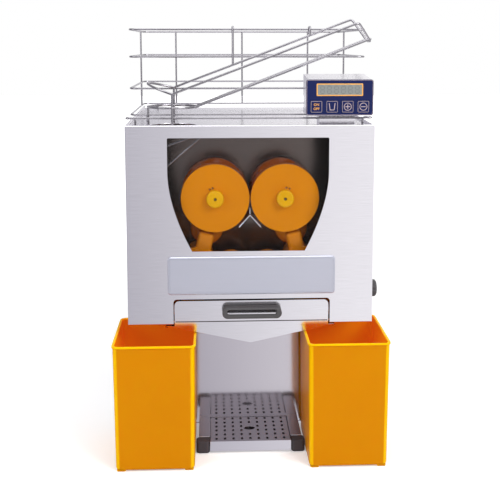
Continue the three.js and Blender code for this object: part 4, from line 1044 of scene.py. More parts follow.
@dataclass
class Studio:
    """Camera, soft lamps, pale floor and white surroundings."""

    eye: Point = (-0.0629, -1.8349, 0.7159)
    yaw: float = 2.9075
    pitch: float = 8.0
    lens: float = 69.913
    shift_x: float = -0.0243
    shift_y: float = -0.1374
    ambient: float = 0.5
    floor_half: float = 12.0
    # What polished metal sees of the surroundings: darker on the left, and where that changes
    fall: tuple[Colour, Colour] = ((0.5, 0.49, 0.54), (1.0, 0.99, 1.0))
    fall_span: Flat = (-0.22, 0.2)
    sky: Colour = (0.75, 0.75, 0.77)
    sky_span: Flat = (0.35, 0.9)
    # The floor's two tones, and its glow to the camera, which grows with the distance squared
    paper: tuple[Colour, Colour] = ((0.86, 0.86, 0.86), (0.88, 0.88, 0.88))
    glow: Colour = (0.3, 0.3, 0.3)
    glow_span: Flat = (0.5, 5.0)
    # Middle, aim, width and power of each lamp
    lamps: tuple = (((1.7, -2.1, 1.9), (0.0, -0.1, 0.35), 1.5, 52.0),
                    ((-2.0, -1.8, 1.3), (0.0, -0.1, 0.35), 1.4, 22.0),
                    ((0.0, -0.4, 2.6), (0.0, 0.0, 0.4), 1.6, 26.0))

    def build(self) -> list[bpy.types.Object]:
        """Set the studio up.

        Returns:
            No piece, as nothing here is part of the juicer.
        """
        scene = bpy.context.scene
        scene.view_settings.view_transform = "Standard"
        camera = bpy.data.objects.new("camera", bpy.data.cameras.new("camera"))
        camera.location = self.eye
        camera.rotation_euler = (math.radians(90 - self.pitch), 0.0, math.radians(-self.yaw))
        camera.data.lens, camera.data.sensor_width = self.lens, 36.0
        camera.data.shift_x, camera.data.shift_y = self.shift_x, self.shift_y
        scene.collection.objects.link(camera)
        scene.camera = camera
        for place, aim, width, power in self.lamps:
            lamp = bpy.data.lights.new("lamp", "AREA")
            lamp.size, lamp.energy = width, power
            holder = bpy.data.objects.new("lamp", lamp)
            holder.location = place
            holder.rotation_euler = (Vector(aim) - Vector(place)).to_track_quat("-Z", "Y").to_euler()
            scene.collection.objects.link(holder)
        self._floor(scene)
        self._world(scene)
        return []

    def _floor(self, scene: bpy.types.Scene) -> None:
        """Lay the floor: white to the camera, with the shadow kept.

        Args:
            scene: The scene that it lies in.
        """
        half = self.floor_half
        corners = [(-half, -half, 0), (half, -half, 0), (half, half, 0), (-half, half, 0)]
        mesh = bpy.data.meshes.new("floor")
        mesh.from_pydata(corners, [], [(0, 1, 2, 3)])
        floor = bpy.data.objects.new("floor", mesh)
        scene.collection.objects.link(floor)
        made = bpy.data.materials.new("floor")
        made.use_nodes = True
        recipe = Recipe(made.node_tree)
        seen, mirrored = recipe.rays()
        x, y, _ = recipe.parts(recipe.place())
        glow = recipe.mixed((x * x + y * y).eased(*self.glow_span), self.glow, WHITE)
        paper = recipe.node("ShaderNodeBsdfPrincipled", None, {
            "Base Color": recipe.mixed(recipe.noise(3.0), *self.paper),
            "Roughness": 0.8,
            "Emission Color": recipe.mixed(seen, BLACK, glow),
            "Emission Strength": 1.0,
        })
        fall = recipe.mixed((x / (1.0 - y)).eased(*self.fall_span), *self.fall)
        mirror = recipe.node("ShaderNodeEmission", None, {"Color": fall, "Strength": 1.0})
        both = recipe.node("ShaderNodeMixShader", None,
                           {0: mirrored, 1: paper.outputs[0], 2: mirror.outputs[0]})
        recipe.node("ShaderNodeOutputMaterial", None, {"Surface": both.outputs[0]})
        mesh.materials.append(made)

    def _world(self, scene: bpy.types.Scene) -> None:
        """Light the world evenly; metal sees it fall off to the left, the camera sees it white.

        Args:
            scene: The scene that it surrounds.
        """
        world = bpy.data.worlds.new("studio")
        world.use_nodes = True
        scene.world = world
        recipe = Recipe(world.node_tree)
        seen, mirrored = recipe.rays()
        across, _, up = recipe.parts(recipe.node("ShaderNodeTexCoord").outputs["Generated"])
        colour = recipe.mixed(across.eased(*self.fall_span), *self.fall)
        colour = recipe.mixed(up.eased(*self.sky_span), colour, self.sky)
        colour = recipe.mixed(seen, colour, WHITE)
        even = recipe.node("ShaderNodeBackground", None, {0: WHITE, 1: self.ambient})
        shown = recipe.node("ShaderNodeBackground", None, {0: colour, 1: 1.0})
        both = recipe.node("ShaderNodeMixShader", None,
                           {0: seen.larger(mirrored), 1: even.outputs[0], 2: shown.outputs[0]})
        recipe.node("ShaderNodeOutputWorld", None, {"Surface": both.outputs[0]})


@dataclass
class Housing:
    """Stainless body: sides, rear, belly and column, and the sloping top with its rail."""

    inner_half: float = 208.2
    front_y: float = -191.7
    rear_y: float = 270.0
    front_top: float = 577.0
    slope: float = 5 / 461.7
    flange_half: float = 196.2
    flange_foot: float = 565.0
    side_flange_y: Flat = (-74.7, 263.7)
    hole: tuple[float, float, float] = (-131.6, -142.0, 40.0)
    rail_y: float = -178.0
    rail_z: float = 592.0
    rail_half: float = 210.0
    rail_return: float = 14.0
    rail_bend: float = 5.0
    wire: float = 1.75
    rear_face: float = 266.0
    screw_xs: Flat = (-196.0, 196.0)
    screw_zs: tuple[float, ...] = (24.0, 205.0, 386.0, 560.0)
    screw_radius: float = 4.2
    # How far each ring of a screw's head stands out, and its share of the radius
    screw_profile: tuple[Flat, ...] = ((-1.0, 1.0), (0.0, 1.0), (0.9, 0.86), (1.5, 0.5))
    # Where the screw's socket starts, and its radius
    screw_socket: Flat = (0.5, 1.6)

    def build(self) -> list[bpy.types.Object]:
        """Build and dress the housing.

        Returns:
            Its pieces.
        """
        pieces = [keep("left_side_panel", SIDE_STEEL), keep("right_side_panel", SIDE_STEEL),
                  keep("rear_panel", COLUMN_STEEL), keep("lower_panel", COLUMN_STEEL),
                  keep("front_frame", DOOR_STEEL), keep("power_inlet", BLACK_PLASTIC, 0.6)]
        return pieces + [self._shelf(), self._rail(), self._screws()]

    def floor_at(self, y: float) -> float:
        """Height of the shelf's floor at a depth."""
        return self.front_top + (y - self.front_y) * self.slope

    def _shelf(self) -> bpy.types.Object:
        """The sloping shelf with its turned-down edges and the drop hole.

        Returns:
            The piece.
        """
        half, front, rear = self.inner_half, self.front_y, self.rear_y
        plan = [(front, self.floor_at(front) - SHEET), (rear, self.floor_at(rear) - SHEET),
                (rear, self.floor_at(rear)), (front, self.floor_at(front))]
        shelf = Blank().prism(plan, Axis.X, -half, half)
        shelf.join(Blank().box((-self.flange_half, front, self.flange_foot),
                               (self.flange_half, front + SHEET, self.floor_at(front) - SHEET / 2)))
        near, far = self.side_flange_y
        wing = [(near, self.flange_foot), (far, self.flange_foot), (far, self.floor_at(far) - SHEET / 2),
                (near, self.floor_at(near) - SHEET / 2)]
        for start, end in ((-half, SHEET - half), (half - SHEET, half)):
            shelf.join(Blank().prism(wing, Axis.X, start, end))
        x, y, radius = self.hole
        shelf.cut(Blank().rod(self.flange_foot, self.floor_at(y) + PAST, radius, (x, y), Axis.Z, 72))
        return shelf.ease(0.5).piece("fruit_shelf", SIDE_STEEL, "root", ("top_tray",))

    def _rail(self) -> bpy.types.Object:
        """Wire rail in front of the shelf, turned back and down at its ends.

        Returns:
            The piece.
        """
        half, stand, back = self.rail_half, self.rail_half - self.rail_return, self.rail_y + self.rail_return
        foot = self.floor_at(back) - SHEET / 2
        z = self.rail_z
        corners = [(-stand, back, foot), (-stand, back, z), (-half, back, z), (-half, self.rail_y, z),
                   (half, self.rail_y, z), (half, back, z), (stand, back, z), (stand, back, foot)]
        rail = Blank().tube(bent(corners, self.rail_bend), self.wire)
        return rail.piece("shelf_rail", CHROME, "root", ("top_tray",))

    def _screws(self) -> bpy.types.Object:
        """Domed screws that hold the rear cover on.

        Returns:
            The piece.
        """
        screws = Blank()
        face = self.rear_face
        start, socket = self.screw_socket
        profile = [(face + out, self.screw_radius * share) for out, share in self.screw_profile]
        for x in self.screw_xs:
            for z in self.screw_zs:
                screw = Blank().turned(profile, (x, z), Axis.Y, 24)
                screws.join(screw.cut(Blank().rod(face + start, face + PAST, socket, (x, z), Axis.Y, 6)))
        return screws.piece("rear_screws", SHAFT, "root")


@dataclass
class Door:
    """Hinged front cover with its window, pane, blank plate and clamp knob."""

    half: float = 210.5
    front: float = -210.0
    depth: float = 14.0
    bottom: float = 239.0
    top: float = 582.0
    belly_top: float = 241.0
    bend: float = 1.6
    window_x: float = -3.5
    window_top_half: float = 136.7
    window_foot_half: float = 96.2
    window_top: float = 561.0
    window_shoulder: float = 504.0
    window_foot: float = 367.0
    bend_shares: tuple[float, float, float] = (0.36, 0.49, 0.277)
    window_corner: float = 2.5
    pane_lap: float = 8.0
    pane_thickness: float = 3.0
    # Left, right and top of the drawer's notch, and how far its outline runs past the door's foot
    notch: tuple[float, float, float] = (-132.7, 136.7, 283.5)
    notch_corner: float = 6.0
    notch_drop: float = 30.0
    plate_low: Flat = (-142.0, 292.0)
    plate_high: Flat = (145.0, 358.4)
    plate_corner: float = 6.0
    # How far inside the plate's outline each ring runs, and how far it stands out
    plate_profile: tuple[Flat, ...] = ((0.0, 0.0), (0.0, 1.6), (0.25, 2.0), (1.8, 3.5), (3.4, 3.5),
                                       (3.55, 3.0), (4.2, 3.0), (4.35, 3.5))
    knob: Point = (210.8, -178.0, 292.0)
    # Distance from the knob's foot and radius there, and the same of its neck
    knob_profile: tuple[Flat, ...] = ((0.0, 12.0), (0.9, 14.0), (2.2, 15.0), (7.5, 15.0), (9.5, 14.2),
                                      (10.9, 12.0), (11.5, 9.5), (11.3, 6.0), (10.6, 3.0))
    knob_flutes: Flat = (12, 1.3)
    knob_neck: tuple[float, float, float] = (-1.3, 2.0, 4.0)
    hinge: Flat = (-206.0, -199.5)
    hinge_bore: float = 2.15
    # Lift of the lower hinge slot, drop of the upper one, their height and the room before the pin
    slots: tuple[float, float, float, float] = (3.5, 11.5, 4.0, 4.0)
    # How far inside the edges the clamp tab is rooted, how far it reaches back, and half its height
    tab: tuple[float, float, float] = (3.0, 24.0, 12.0)

    def build(self) -> list[bpy.types.Object]:
        """Build and dress the door.

        Returns:
            Its pieces.
        """
        return [self._cover(), self._pane(), self._plate(), self._knob()]

    def _outline(self, margin: float) -> list[Flat]:
        """Outline of the window, grown by a margin.

        Args:
            margin: The margin.

        Returns:
            The outline, from the foot's right end.
        """
        top_half, foot_half = self.window_top_half + margin, self.window_foot_half + margin
        top, foot, shoulder = self.window_top + margin, self.window_foot - margin, self.window_shoulder
        radius, fall = self.window_corner + margin, shoulder - foot
        upper, step, lower = self.bend_shares
        bend = foot_half + (top_half - foot_half) * step
        side = bezier((foot_half, foot), (bend, foot + fall * lower), (top_half, shoulder - fall * upper),
                      (top_half, shoulder), 22)
        corner = [(top_half - radius + radius * math.cos(turn), top - radius + radius * math.sin(turn))
                  for turn in (math.pi / 2 * i / 6 for i in range(7))]
        right = [(foot_half, foot)] + side + corner
        return ([(self.window_x + x, z) for x, z in right]
                + [(self.window_x - x, z) for x, z in reversed(right)])

    def _cover(self) -> bpy.types.Object:
        """The cover: a bent pan with its window, drawer notch, hinge slots and clamp tab.

        Returns:
            The piece.
        """
        half, front, rear = self.half, self.front, self.front + self.depth
        cover = Blank().box((-half, front, self.bottom), (half, rear, self.top)).ease(self.bend, 4)
        cover.cut(Blank().box((SHEET - half, front + SHEET, self.belly_top),
                              (half - SHEET, rear + PAST, self.top - SHEET)))
        cover.pierce(self._outline(0.0), Axis.Y, front, front + SHEET)
        left, right, notch_top = self.notch
        notch = rounded((left, self.bottom - self.notch_drop), (right, notch_top), self.notch_corner)
        cover.pierce(notch, Axis.Y, front, rear)
        cover.cut(Blank().rod(self.bottom - PAST, self.top + PAST, self.hinge_bore, self.hinge, Axis.Z, 24))
        lift, drop, tall, room = self.slots
        for low in (self.bottom + lift, self.top - drop):
            cover.cut(Blank().box((-half - PAST, self.hinge[1] - room, low),
                                  (SHEET - half + 0.5, rear + PAST, low + tall)))
        inset, reach, tall = self.tab
        edge, z = half - inset, self.knob[2]
        for right, back in ((edge, rear + reach), (half - SHEET / 2, rear - 0.5)):
            cover.join(Blank().box((edge - SHEET, rear - inset, z - tall), (right, back, z + tall)))
        return cover.ease(0.35, 2, 50).piece("door_cover", DOOR_STEEL, "cover", ("front_cover",))

    def _pane(self) -> bpy.types.Object:
        """Clear pane behind the window.

        Returns:
            The piece.
        """
        near = self.front + SHEET + GAP
        pane = Blank().prism(self._outline(self.pane_lap), Axis.Y, near, near + self.pane_thickness)
        return pane.ease(0.4).piece("door_pane", PANE, "cover", ("window_pane",))

    def _plate(self) -> bpy.types.Object:
        """Blank plate: bevelled edge, then a fine groove round its bare face.

        Returns:
            The piece.
        """
        rings = []
        for inset, proud in self.plate_profile:
            outline = rounded((self.plate_low[0] + inset, self.plate_low[1] + inset),
                              (self.plate_high[0] - inset, self.plate_high[1] - inset),
                              max(self.plate_corner - inset, 1.5))
            rings.append([Axis.Y.point(self.front - GAP - proud, a, b) for a, b in outline])
        return Blank().loft(rings).piece("blank_plate", PLATE, "cover", ("name_plate",))

    def _knob(self) -> bpy.types.Object:
        """Fluted clamp knob on its screw.

        Returns:
            The piece.
        """
        x, *centre = self.knob
        flutes, depth = self.knob_flutes
        knob = Blank().turned([(x + out, radius) for out, radius in self.knob_profile], centre, Axis.X,
                              96, flutes, depth)
        start, end, neck = self.knob_neck
        knob.join(Blank().rod(x + start, x + end, neck, centre, Axis.X, 32))
        return knob.piece("door_clamp_knob", BLACK_PLASTIC, "clamp", ("clamp_knob",))


@dataclass
class DrumTrain:
    """The four drums with their discs and knobs, on their shafts."""

    mid_y: float = -133.7
    length: float = 100.0
    cup_x: float = 60.0
    cup_z: float = 455.0
    ball_x: float = 88.0
    ball_z: float = 338.313
    radius: float = 59.0
    pocket: float = 37.0
    pocket_centre: float = 63.0
    ball: float = 29.0
    ball_centre: float = 57.0
    hub: float = 24.0
    # Distance from the front and radius there
    flange_profile: tuple[Flat, ...] = ((0.0, 29.5), (0.5, 30.5), (1.5, 31.0), (12.0, 31.0))
    neck: float = 13.0
    spoke: float = 27.7
    spoke_reach: float = 57.5
    disc: float = 6.0
    knob_length: float = 11.7
    # Distance from the knob's front and radius there, and the same of the dark plug in its dimple, a painted
    # shade
    knob_profile: tuple[Flat, ...] = ((11.7, 14.5), (11.2, 15.0), (2.6, 15.0), (1.1, 14.5), (0.3, 13.5),
                                      (0.0, 12.0), (0.0, 3.1), (0.3, 2.6), (3.6, 2.3))
    screw_profile: tuple[Flat, ...] = ((0.9, 1.2), (1.2, 1.7), (3.7, 1.8))
    # Depth and radius
    knob_bore: Flat = (7.3, 4.8)
    shaft: float = 10.3
    bore_past: float = 12.0
    # Where the holes of each disc stand, in degrees, and how far from its middle; a dark fill in each hole is
    # a painted shade
    hole_shades: dict = field(default_factory=lambda: {"left": (103, 120), "right": (64, 82)})
    hole_reach: float = 18.2
    # Start behind the disc's front, end behind its rear, and radius: first of the dark fill that is a painted
    # shade in each hole, then of the hole
    pin: tuple[float, float, float] = (0.3, -3.2, 1.3)
    disc_hole: tuple[float, float, float] = (-1.0, -3.0, 1.5)

    def build(self) -> list[bpy.types.Object]:
        """Build and dress the drums.

        Returns:
            Their pieces.
        """
        pieces = []
        mesh_angle = math.atan2(self.ball_z - self.cup_z, self.cup_x - self.ball_x)
        for side, name in ((-1, "left"), (1, "right")):
            face = mesh_angle if side < 0 else math.pi - mesh_angle
            cup, ball = (side * self.cup_x, self.cup_z), (side * self.ball_x, self.ball_z)
            front = self.mid_y - self.length / 2 - GAP
            pieces += [
                self._cup(cup, face, name), *self._disc(cup, front, name),
                *self._knob(cup, front - self.disc - GAP, f"cup_{name}"),
                self._ball(ball, face + math.pi, name), *self._knob(ball, front, f"ball_{name}"),
                keep(f"shaft_cup_{name}", SHAFT), keep(f"shaft_ball_{name}", SHAFT),
                keep(f"gear_cup_{name}", GEAR, 0.5), keep(f"gear_ball_{name}", GEAR, 0.5)]
        return pieces

    def _bore(self, centre: Flat) -> Blank:
        """Room for the shaft through a drum or disc."""
        reach = self.length / 2 + self.bore_past
        return Blank().rod(self.mid_y - reach, self.mid_y + reach, self.shaft, centre, Axis.Y, 32)

    def _cup(self, centre: Flat, face: float, name: str) -> bpy.types.Object:
        """Cup drum: a cylinder with four half-round pockets.

        Args:
            centre: Where its shaft stands.
            face: Where its first pocket faces.
            name: Its side.

        Returns:
            The piece.
        """
        half = self.length / 2
        drum = Blank().rod(self.mid_y - half, self.mid_y + half, self.radius, centre, Axis.Y, 96)
        for pocket in range(4):
            turn = face + pocket * math.pi / 2
            drum.cut(Blank().ball(Vector((centre[0] + self.pocket_centre * math.cos(turn), self.mid_y,
                                          centre[1] + self.pocket_centre * math.sin(turn))), self.pocket))
        drum.cut(self._bore(centre)).ease(0.8, 2, 40)
        return drum.piece(f"cup_drum_{name}", CUP_PLASTIC, f"cup_{name}", (f"drum_cup_{name}",))

    def _disc(self, centre: Flat, rear: float, name: str) -> list[bpy.types.Object]:
        """Disc in front of a cup drum, with two small holes just above its knob, each filled by a dark disc
        that is a painted shade.

        Args:
            centre: Where its shaft stands.
            rear: Its rear face.
            name: Its side.

        Returns:
            The disc and the painted shades in its holes.
        """
        front = rear - self.disc
        disc = Blank().rod(front, rear, self.radius, centre, Axis.Y, 128)
        disc.cut(self._bore(centre))
        hole_shades = Blank()
        for degrees in self.hole_shades[name]:
            turn = math.radians(degrees)
            place = centre[0] + self.hole_reach * math.cos(turn), centre[1] + self.hole_reach * math.sin(turn)
            start, end, radius = self.disc_hole
            disc.cut(Blank().rod(front + start, rear + end, radius, place, Axis.Y, 20))
            # Dark fill just under the face: painted shade in the hole
            start, end, radius = self.pin
            hole_shades.rod(front + start, rear + end, radius, place, Axis.Y, 20)
        return [disc.ease(1.3, 3, 50).piece(f"cup_disc_{name}", DISC_PLASTIC, f"cup_{name}",
                                            (f"disc_cup_{name}",)),
                hole_shades.piece(f"disc_painted_hole_shades_{name}", FOOT_RUBBER, f"cup_{name}")]

    def _knob(self, centre: Flat, rear: float, label: str) -> list[bpy.types.Object]:
        """Screwed knob with a rounded rim and a dimple, in which a dark plug is a painted shade.

        Args:
            centre: Where its shaft stands.
            rear: Its rear face.
            label: The body that it rides on.

        Returns:
            The knob and the dark plug of painted shade.
        """
        front = rear - self.knob_length
        depth, radius = self.knob_bore
        knob = Blank().turned([(front + back, size) for back, size in self.knob_profile], centre, Axis.Y)
        knob.cut(Blank().rod(rear - depth, rear + PAST, radius, centre, Axis.Y, 24))
        made = knob.piece(f"{label}_knob", KNOB_PLASTIC, label, (f"knob_{label}",))
        # Dark plug in the dimple: painted shade
        screw = Blank().turned([(front + back, size) for back, size in self.screw_profile], centre,
                               Axis.Y, 24)
        return [made, screw.piece(f"{label}_dimple_painted_shade", BLACK_PLASTIC, label)]

    def _ball(self, centre: Flat, face: float, name: str) -> bpy.types.Object:
        """Ball drum: four balls on necks round a flanged hub, with a stout spoke in front of each.

        Args:
            centre: Where its shaft stands.
            face: Where its first ball faces.
            name: Its side.

        Returns:
            The piece.
        """
        front, rear = self.mid_y - self.length / 2, self.mid_y + self.length / 2
        drum = Blank().rod(front, rear, self.hub, centre, Axis.Y)
        drum.join(Blank().turned([(front + back, size) for back, size in self.flange_profile], centre,
                                 Axis.Y, 72))
        for ball in range(4):
            turn = face + ball * math.pi / 2
            along = Vector((math.cos(turn), math.sin(turn)))
            middle = Vector(centre) + along * self.ball_centre
            spoke = Blank().prism(self._bar(centre, along, self.spoke / 2, self.spoke_reach), Axis.Y,
                                  front, self.mid_y - self.ball / 2)
            drum.join(spoke.ease(7.0, 4, 60))
            drum.join(Blank().prism(self._bar(centre, along, self.neck, self.ball_centre), Axis.Y,
                                    self.mid_y - self.neck, self.mid_y + self.neck))
            drum.join(Blank().ball(Vector((middle.x, self.mid_y, middle.y)), self.ball))
        drum.cut(self._bore(centre))
        return drum.piece(f"ball_drum_{name}", BALL_PLASTIC, f"ball_{name}", (f"drum_ball_{name}",))

    @staticmethod
    def _bar(centre: Flat, along: Vector, half: float, reach: float) -> list[Flat]:
        """Section of a bar from a hub outwards.

        Args:
            centre: Middle of the hub.
            along: Which way the bar runs.
            half: Half its width.
            reach: How far it reaches.

        Returns:
            The section.
        """
        across = Vector((-along.y, along.x))
        corners = ((0, -half), (reach, -half), (reach, half), (0, half))
        return [tuple(Vector(centre) + along * a + across * b) for a, b in corners]


@dataclass
class Chamber:
    """What stands still round the drums: back plate, knife, chutes, wire guide, case and motor."""

    guide: float = 1.75
    guide_path: tuple[Point, ...] = ((-176.0, -78.3, 533.0), (-176.0, -185.0, 533.0), (-72.0, -185.0, 570.0),
                                     (-151.0, -185.0, 503.0), (-151.0, -78.3, 503.0))
    guide_bend: float = 8.0
    # Nodes of the frame that stay, their finish and the width of their softened edges
    kept: tuple = (("drum_back_plate", BACK_STEEL, 0.35), ("knife_holder", DOOR_STEEL, 0.35),
                   ("knife_blade", BLADE, 0.15), ("peel_chute_left", DISC_PLASTIC, 0.6),
                   ("peel_chute_right", DISC_PLASTIC, 0.6), ("gear_case", CAST, 1.5),
                   ("gear_motor", MOTOR_PAINT, 1.5), ("motor_pinion", SHAFT, 0.5))

    def build(self) -> list[bpy.types.Object]:
        """Dress the chamber and build its wire guide.

        Returns:
            Its pieces.
        """
        guide = Blank().tube(bent(self.guide_path, self.guide_bend), self.guide)
        return [keep(*row) for row in self.kept] + [
            guide.piece("fruit_drop_guide", CHROME, "root", ("drop_guide",))]


@dataclass
class JuicePath:
    """Filter drawer with its bow handle, and the juice tray below."""

    handle_low: Flat = (-49.0, 251.0)
    handle_high: Flat = (53.0, 270.0)
    handle_front: float = -222.3
    handle_rear: float = -200.3
    handle_corner: float = 9.2
    top_bar: float = 3.0
    grip: Flat = (6.0, 7.0)
    grip_corner: float = 4.2
    end: float = 8.0
    drawer_face: Flat = (2.0, -200.0)
    # Half length, bottom and top of the dark strip that is a painted shadow line across the drawer
    shadow_line: tuple[float, float, float] = (132.0, 240.4, 241.9)

    def build(self) -> list[bpy.types.Object]:
        """Build and dress the drawer and the tray.

        Returns:
            Their pieces.
        """
        return [keep("filter_drawer", DOOR_STEEL, 0.4), keep("filter_screen", PAN_STEEL, 0.3), self._handle(),
                self._painted_shadow_line(), keep("juice_tray", DOOR_STEEL, 0.4)]

    def _handle(self) -> bpy.types.Object:
        """Bow handle: a thick rounded frame that a hand reaches into from below.

        Returns:
            The piece.
        """
        (left, low), (right, high) = self.handle_low, self.handle_high
        front, rear = self.handle_front, self.handle_rear
        outline = rounded((left, low), (right, high), self.handle_corner, 8)
        handle = Blank().prism(outline, Axis.Y, front, rear).ease(2.0, 3, 50)
        depth, tall = self.grip
        left, right, high = left + self.end, right - self.end, high - self.top_bar
        handle.pierce(rounded((left, low + tall), (right, high), self.grip_corner), Axis.Y, front, rear)
        handle.cut(Blank().box((left, front + depth, low - PAST), (right, rear + PAST, high)))
        return handle.ease(1.1, 3, 50).piece("drawer_bow_handle", BLACK_PLASTIC, "drawer", ("drawer_handle",))

    def _painted_shadow_line(self) -> bpy.types.Object:
        """Painted shadow: a dark strip along the drawer's front, above its lower edge, that stands for the
        shade of a gap.

        Returns:
            The piece.
        """
        half, low, high = self.shadow_line
        centre, face = self.drawer_face
        outline = rounded((centre - half, low), (centre + half, high), 0.5)
        # Painted shadow line, laid on the drawer's face
        strip = Blank().prism(outline, Axis.Y, face - 0.4, face + 0.2)
        return strip.piece("drawer_painted_shadow_line", FOOT_RUBBER, "drawer")


@dataclass
class WasteBins:
    """The two tapered waste bins with rolled rims."""

    inner_x: float = 94.0
    outer_x: float = 235.0
    front: float = -270.0
    rear: float = -90.0
    # From the underside over the rim to the inner floor: how far in, how high, and the corner's radius
    sections: tuple[tuple[float, float, float], ...] = (
        (8.5, 2.0, 8.0), (5.5, 2.6, 9.0), (4.0, 4.2, 10.0), (3.5, 7.0, 10.5), (1.65, 215.2, 11.0),
        (0.7, 215.2, 11.5), (0.2, 215.5, 12.0), (0.0, 216.1, 12.0), (0.0, 217.8, 12.0), (0.4, 218.8, 11.6),
        (1.4, 219.2, 10.6), (3.1, 219.2, 9.0), (4.1, 218.7, 8.5), (4.5, 217.6, 8.3), (6.5, 11.0, 8.0),
        (8.1, 6.6, 7.0), (12.5, 5.0, 5.0))
    foot: float = 15.0
    foot_inset: float = 5.5
    foot_top: float = 3.0
    foot_corner: float = 3.0

    def build(self) -> list[bpy.types.Object]:
        """Build and dress both bins.

        Returns:
            Their pieces.
        """
        return [self._bin(-1, "left"), self._bin(1, "right")]

    def _bin(self, side: int, name: str) -> bpy.types.Object:
        """One bin on its four feet.

        Args:
            side: -1 for the left one, 1 for the right.
            name: Its side.

        Returns:
            The piece.
        """
        rings = []
        for inset, z, corner in self.sections:
            left, right = sorted((side * (self.inner_x + inset), side * (self.outer_x - inset)))
            outline = rounded((left, self.front + inset), (right, self.rear - inset), corner, 7)
            rings.append([Vector((x, y, z)) for x, y in outline])
        shell = Blank().loft(rings)
        inset, size = self.foot_inset, self.foot
        for x in (self.inner_x + inset, self.outer_x - inset - size):
            for y in (self.front + inset, self.rear - inset - size):
                left, right = sorted((side * x, side * (x + size)))
                outline = rounded((left, y), (right, y + size), self.foot_corner)
                shell.join(Blank().prism(outline, Axis.Z, 0.0, self.foot_top))
        return shell.piece(f"waste_bin_{name}", BIN_PLASTIC, f"{name}_bin", (f"bin_{name}",))


@dataclass
class FruitRack:
    """Wire basket on the shelf, and the wire ramp that leads the fruit down to the drop ring."""

    half: float = 209.5
    front: float = -92.0
    rear: float = 250.0
    heights: tuple[float, ...] = (592.0, 639.0, 695.0, 743.0)
    corner: float = 14.0
    posts: tuple[float, ...] = (-140.0, 0.0, 140.0)
    side_post_y: float = 190.0
    leg_x: float = 180.0
    wire: float = 1.75
    ramp_wire: float = 2.0
    ring_x: float = -131.6
    ring_z: float = 610.0
    ring_radius: float = 43.0
    ramp_front: float = -188.0
    ramp_rear: float = -102.0
    floor_ys: Flat = (-162.0, -128.0)
    low_front: float = 633.2
    low_rear: float = 641.0
    loop_z: float = 650.0
    high_x: float = 184.0
    high_z: float = 752.8
    end_x: float = 208.0
    end_z: float = 726.0
    hooks: Flat = (-26.8, 110.0)
    hook_drop: float = 10.0
    hook_bend: float = 3.0
    weld: float = 1.25
    housing: Housing = field(default_factory=Housing)

    def build(self) -> list[bpy.types.Object]:
        """Build and dress the basket and the ramp.

        Returns:
            Their pieces.
        """
        return [self._basket(), self._ramp()]

    def _foot(self, y: float) -> float:
        """Where a leg's rounded end stands, just above the shelf."""
        return self.housing.floor_at(y) + GAP

    def _basket(self) -> bpy.types.Object:
        """Four closed loops of wire on posts and legs, with a bead of weld at each crossing.

        Returns:
            The piece.
        """
        half, front, rear = self.half, self.front, self.rear
        basket = Blank()
        for z in self.heights:
            corners = [(-half, rear, z), (-half, front, z), (half, front, z), (half, rear, z)]
            basket.tube(bent(corners, self.corner, True), self.wire, True)
        low, high = self.heights[0], self.heights[-1]
        uprights = [(x, rear, low, high) for x in self.posts]
        uprights += [(side * half, self.side_post_y, low, high) for side in (-1, 1)]
        uprights += [(side * self.leg_x, y, self._foot(y) + self.wire, low)
                     for side in (-1, 1) for y in (front, rear)]
        for x, y, bottom, top in uprights:
            basket.tube([Vector((x, y, bottom)), Vector((x, y, top))], self.wire)
            for z in self.heights:
                if bottom - 1 < z < top + 1:
                    basket.ball(Vector((x, y, z)), self.wire * 1.22, 12)
        return basket.piece("wire_basket", CHROME, "basket", ("fruit_basket",))

    def _ramp(self) -> bpy.types.Object:
        """Floor wires, guards that meet round the low end, drop ring, hooks and legs.

        Returns:
            The piece.
        """
        mid = (self.ramp_front + self.ramp_rear) / 2
        slope = (self.high_z - self.low_front) / (self.high_x - self.ring_x)
        rear_high = self.low_rear + slope * (self.high_x - self.ring_x)
        cross = self.end_z - 2 * self.ramp_wire + GAP
        lift = self.loop_z - (self.low_front + self.low_rear) / 2
        loop = []
        for step in range(1, 24):
            share = step / 24
            turn = math.pi * share
            base = self.low_front + (self.low_rear - self.low_front) * share
            loop.append((self.ring_x - self.ring_radius * math.sin(turn),
                         mid - self.ring_radius * math.cos(turn), base + lift * math.sin(turn)))
        guard = [(self.end_x, mid, cross), (self.end_x, self.floor_ys[0], cross),
                 (self.high_x, self.ramp_front, self.high_z),
                 (self.ring_x, self.ramp_front, self.low_front), *loop,
                 (self.ring_x, self.ramp_rear, self.low_rear),
                 (self.high_x, self.ramp_rear, rear_high), (self.end_x, self.floor_ys[1], cross)]
        ramp = Blank().tube(bent(guard, 6.0, True), self.ramp_wire, True)
        ramp.tube([Vector((self.ring_x + self.ring_radius * math.cos(turn),
                           mid + self.ring_radius * math.sin(turn), self.ring_z))
                   for turn in (2 * math.pi * i / 64 for i in range(64))], self.ramp_wire, True)
        bead = self.ramp_wire * self.weld
        for y in self.floor_ys:
            start = self.ring_x + math.sqrt(self.ring_radius ** 2 - (y - mid) ** 2)
            ramp.tube([Vector((start, y, self.ring_z)), Vector((self.end_x, y, self.end_z))], self.ramp_wire)
            ramp.ball(Vector((start, y, self.ring_z)), bead, 12)
        for x, y, top in ((self.ring_x, self.ramp_front, self.low_front),
                          (self.ring_x, self.ramp_rear, self.low_rear),
                          (self.ring_x - self.ring_radius, mid, self.ring_z)):
            ramp.tube([Vector((x, y, self._foot(y) + self.ramp_wire)), Vector((x, y, top))], self.ramp_wire)
            ramp.ball(Vector((x, y, self.ring_z)), bead, 12)
        over = self.heights[-1] + self.wire + GAP + self.ramp_wire
        behind = 2 * self.front - self.ramp_rear
        for x in self.hooks:
            guard_z = self.low_rear + slope * (x - self.ring_x)
            ramp.tube(bent([(x, self.ramp_rear, guard_z), (x, self.ramp_rear, over), (x, behind, over),
                            (x, behind, over - self.hook_drop)], self.hook_bend), self.ramp_wire)
        return ramp.piece("wire_feed_ramp", CHROME, "ramp", ("feed_ramp",))


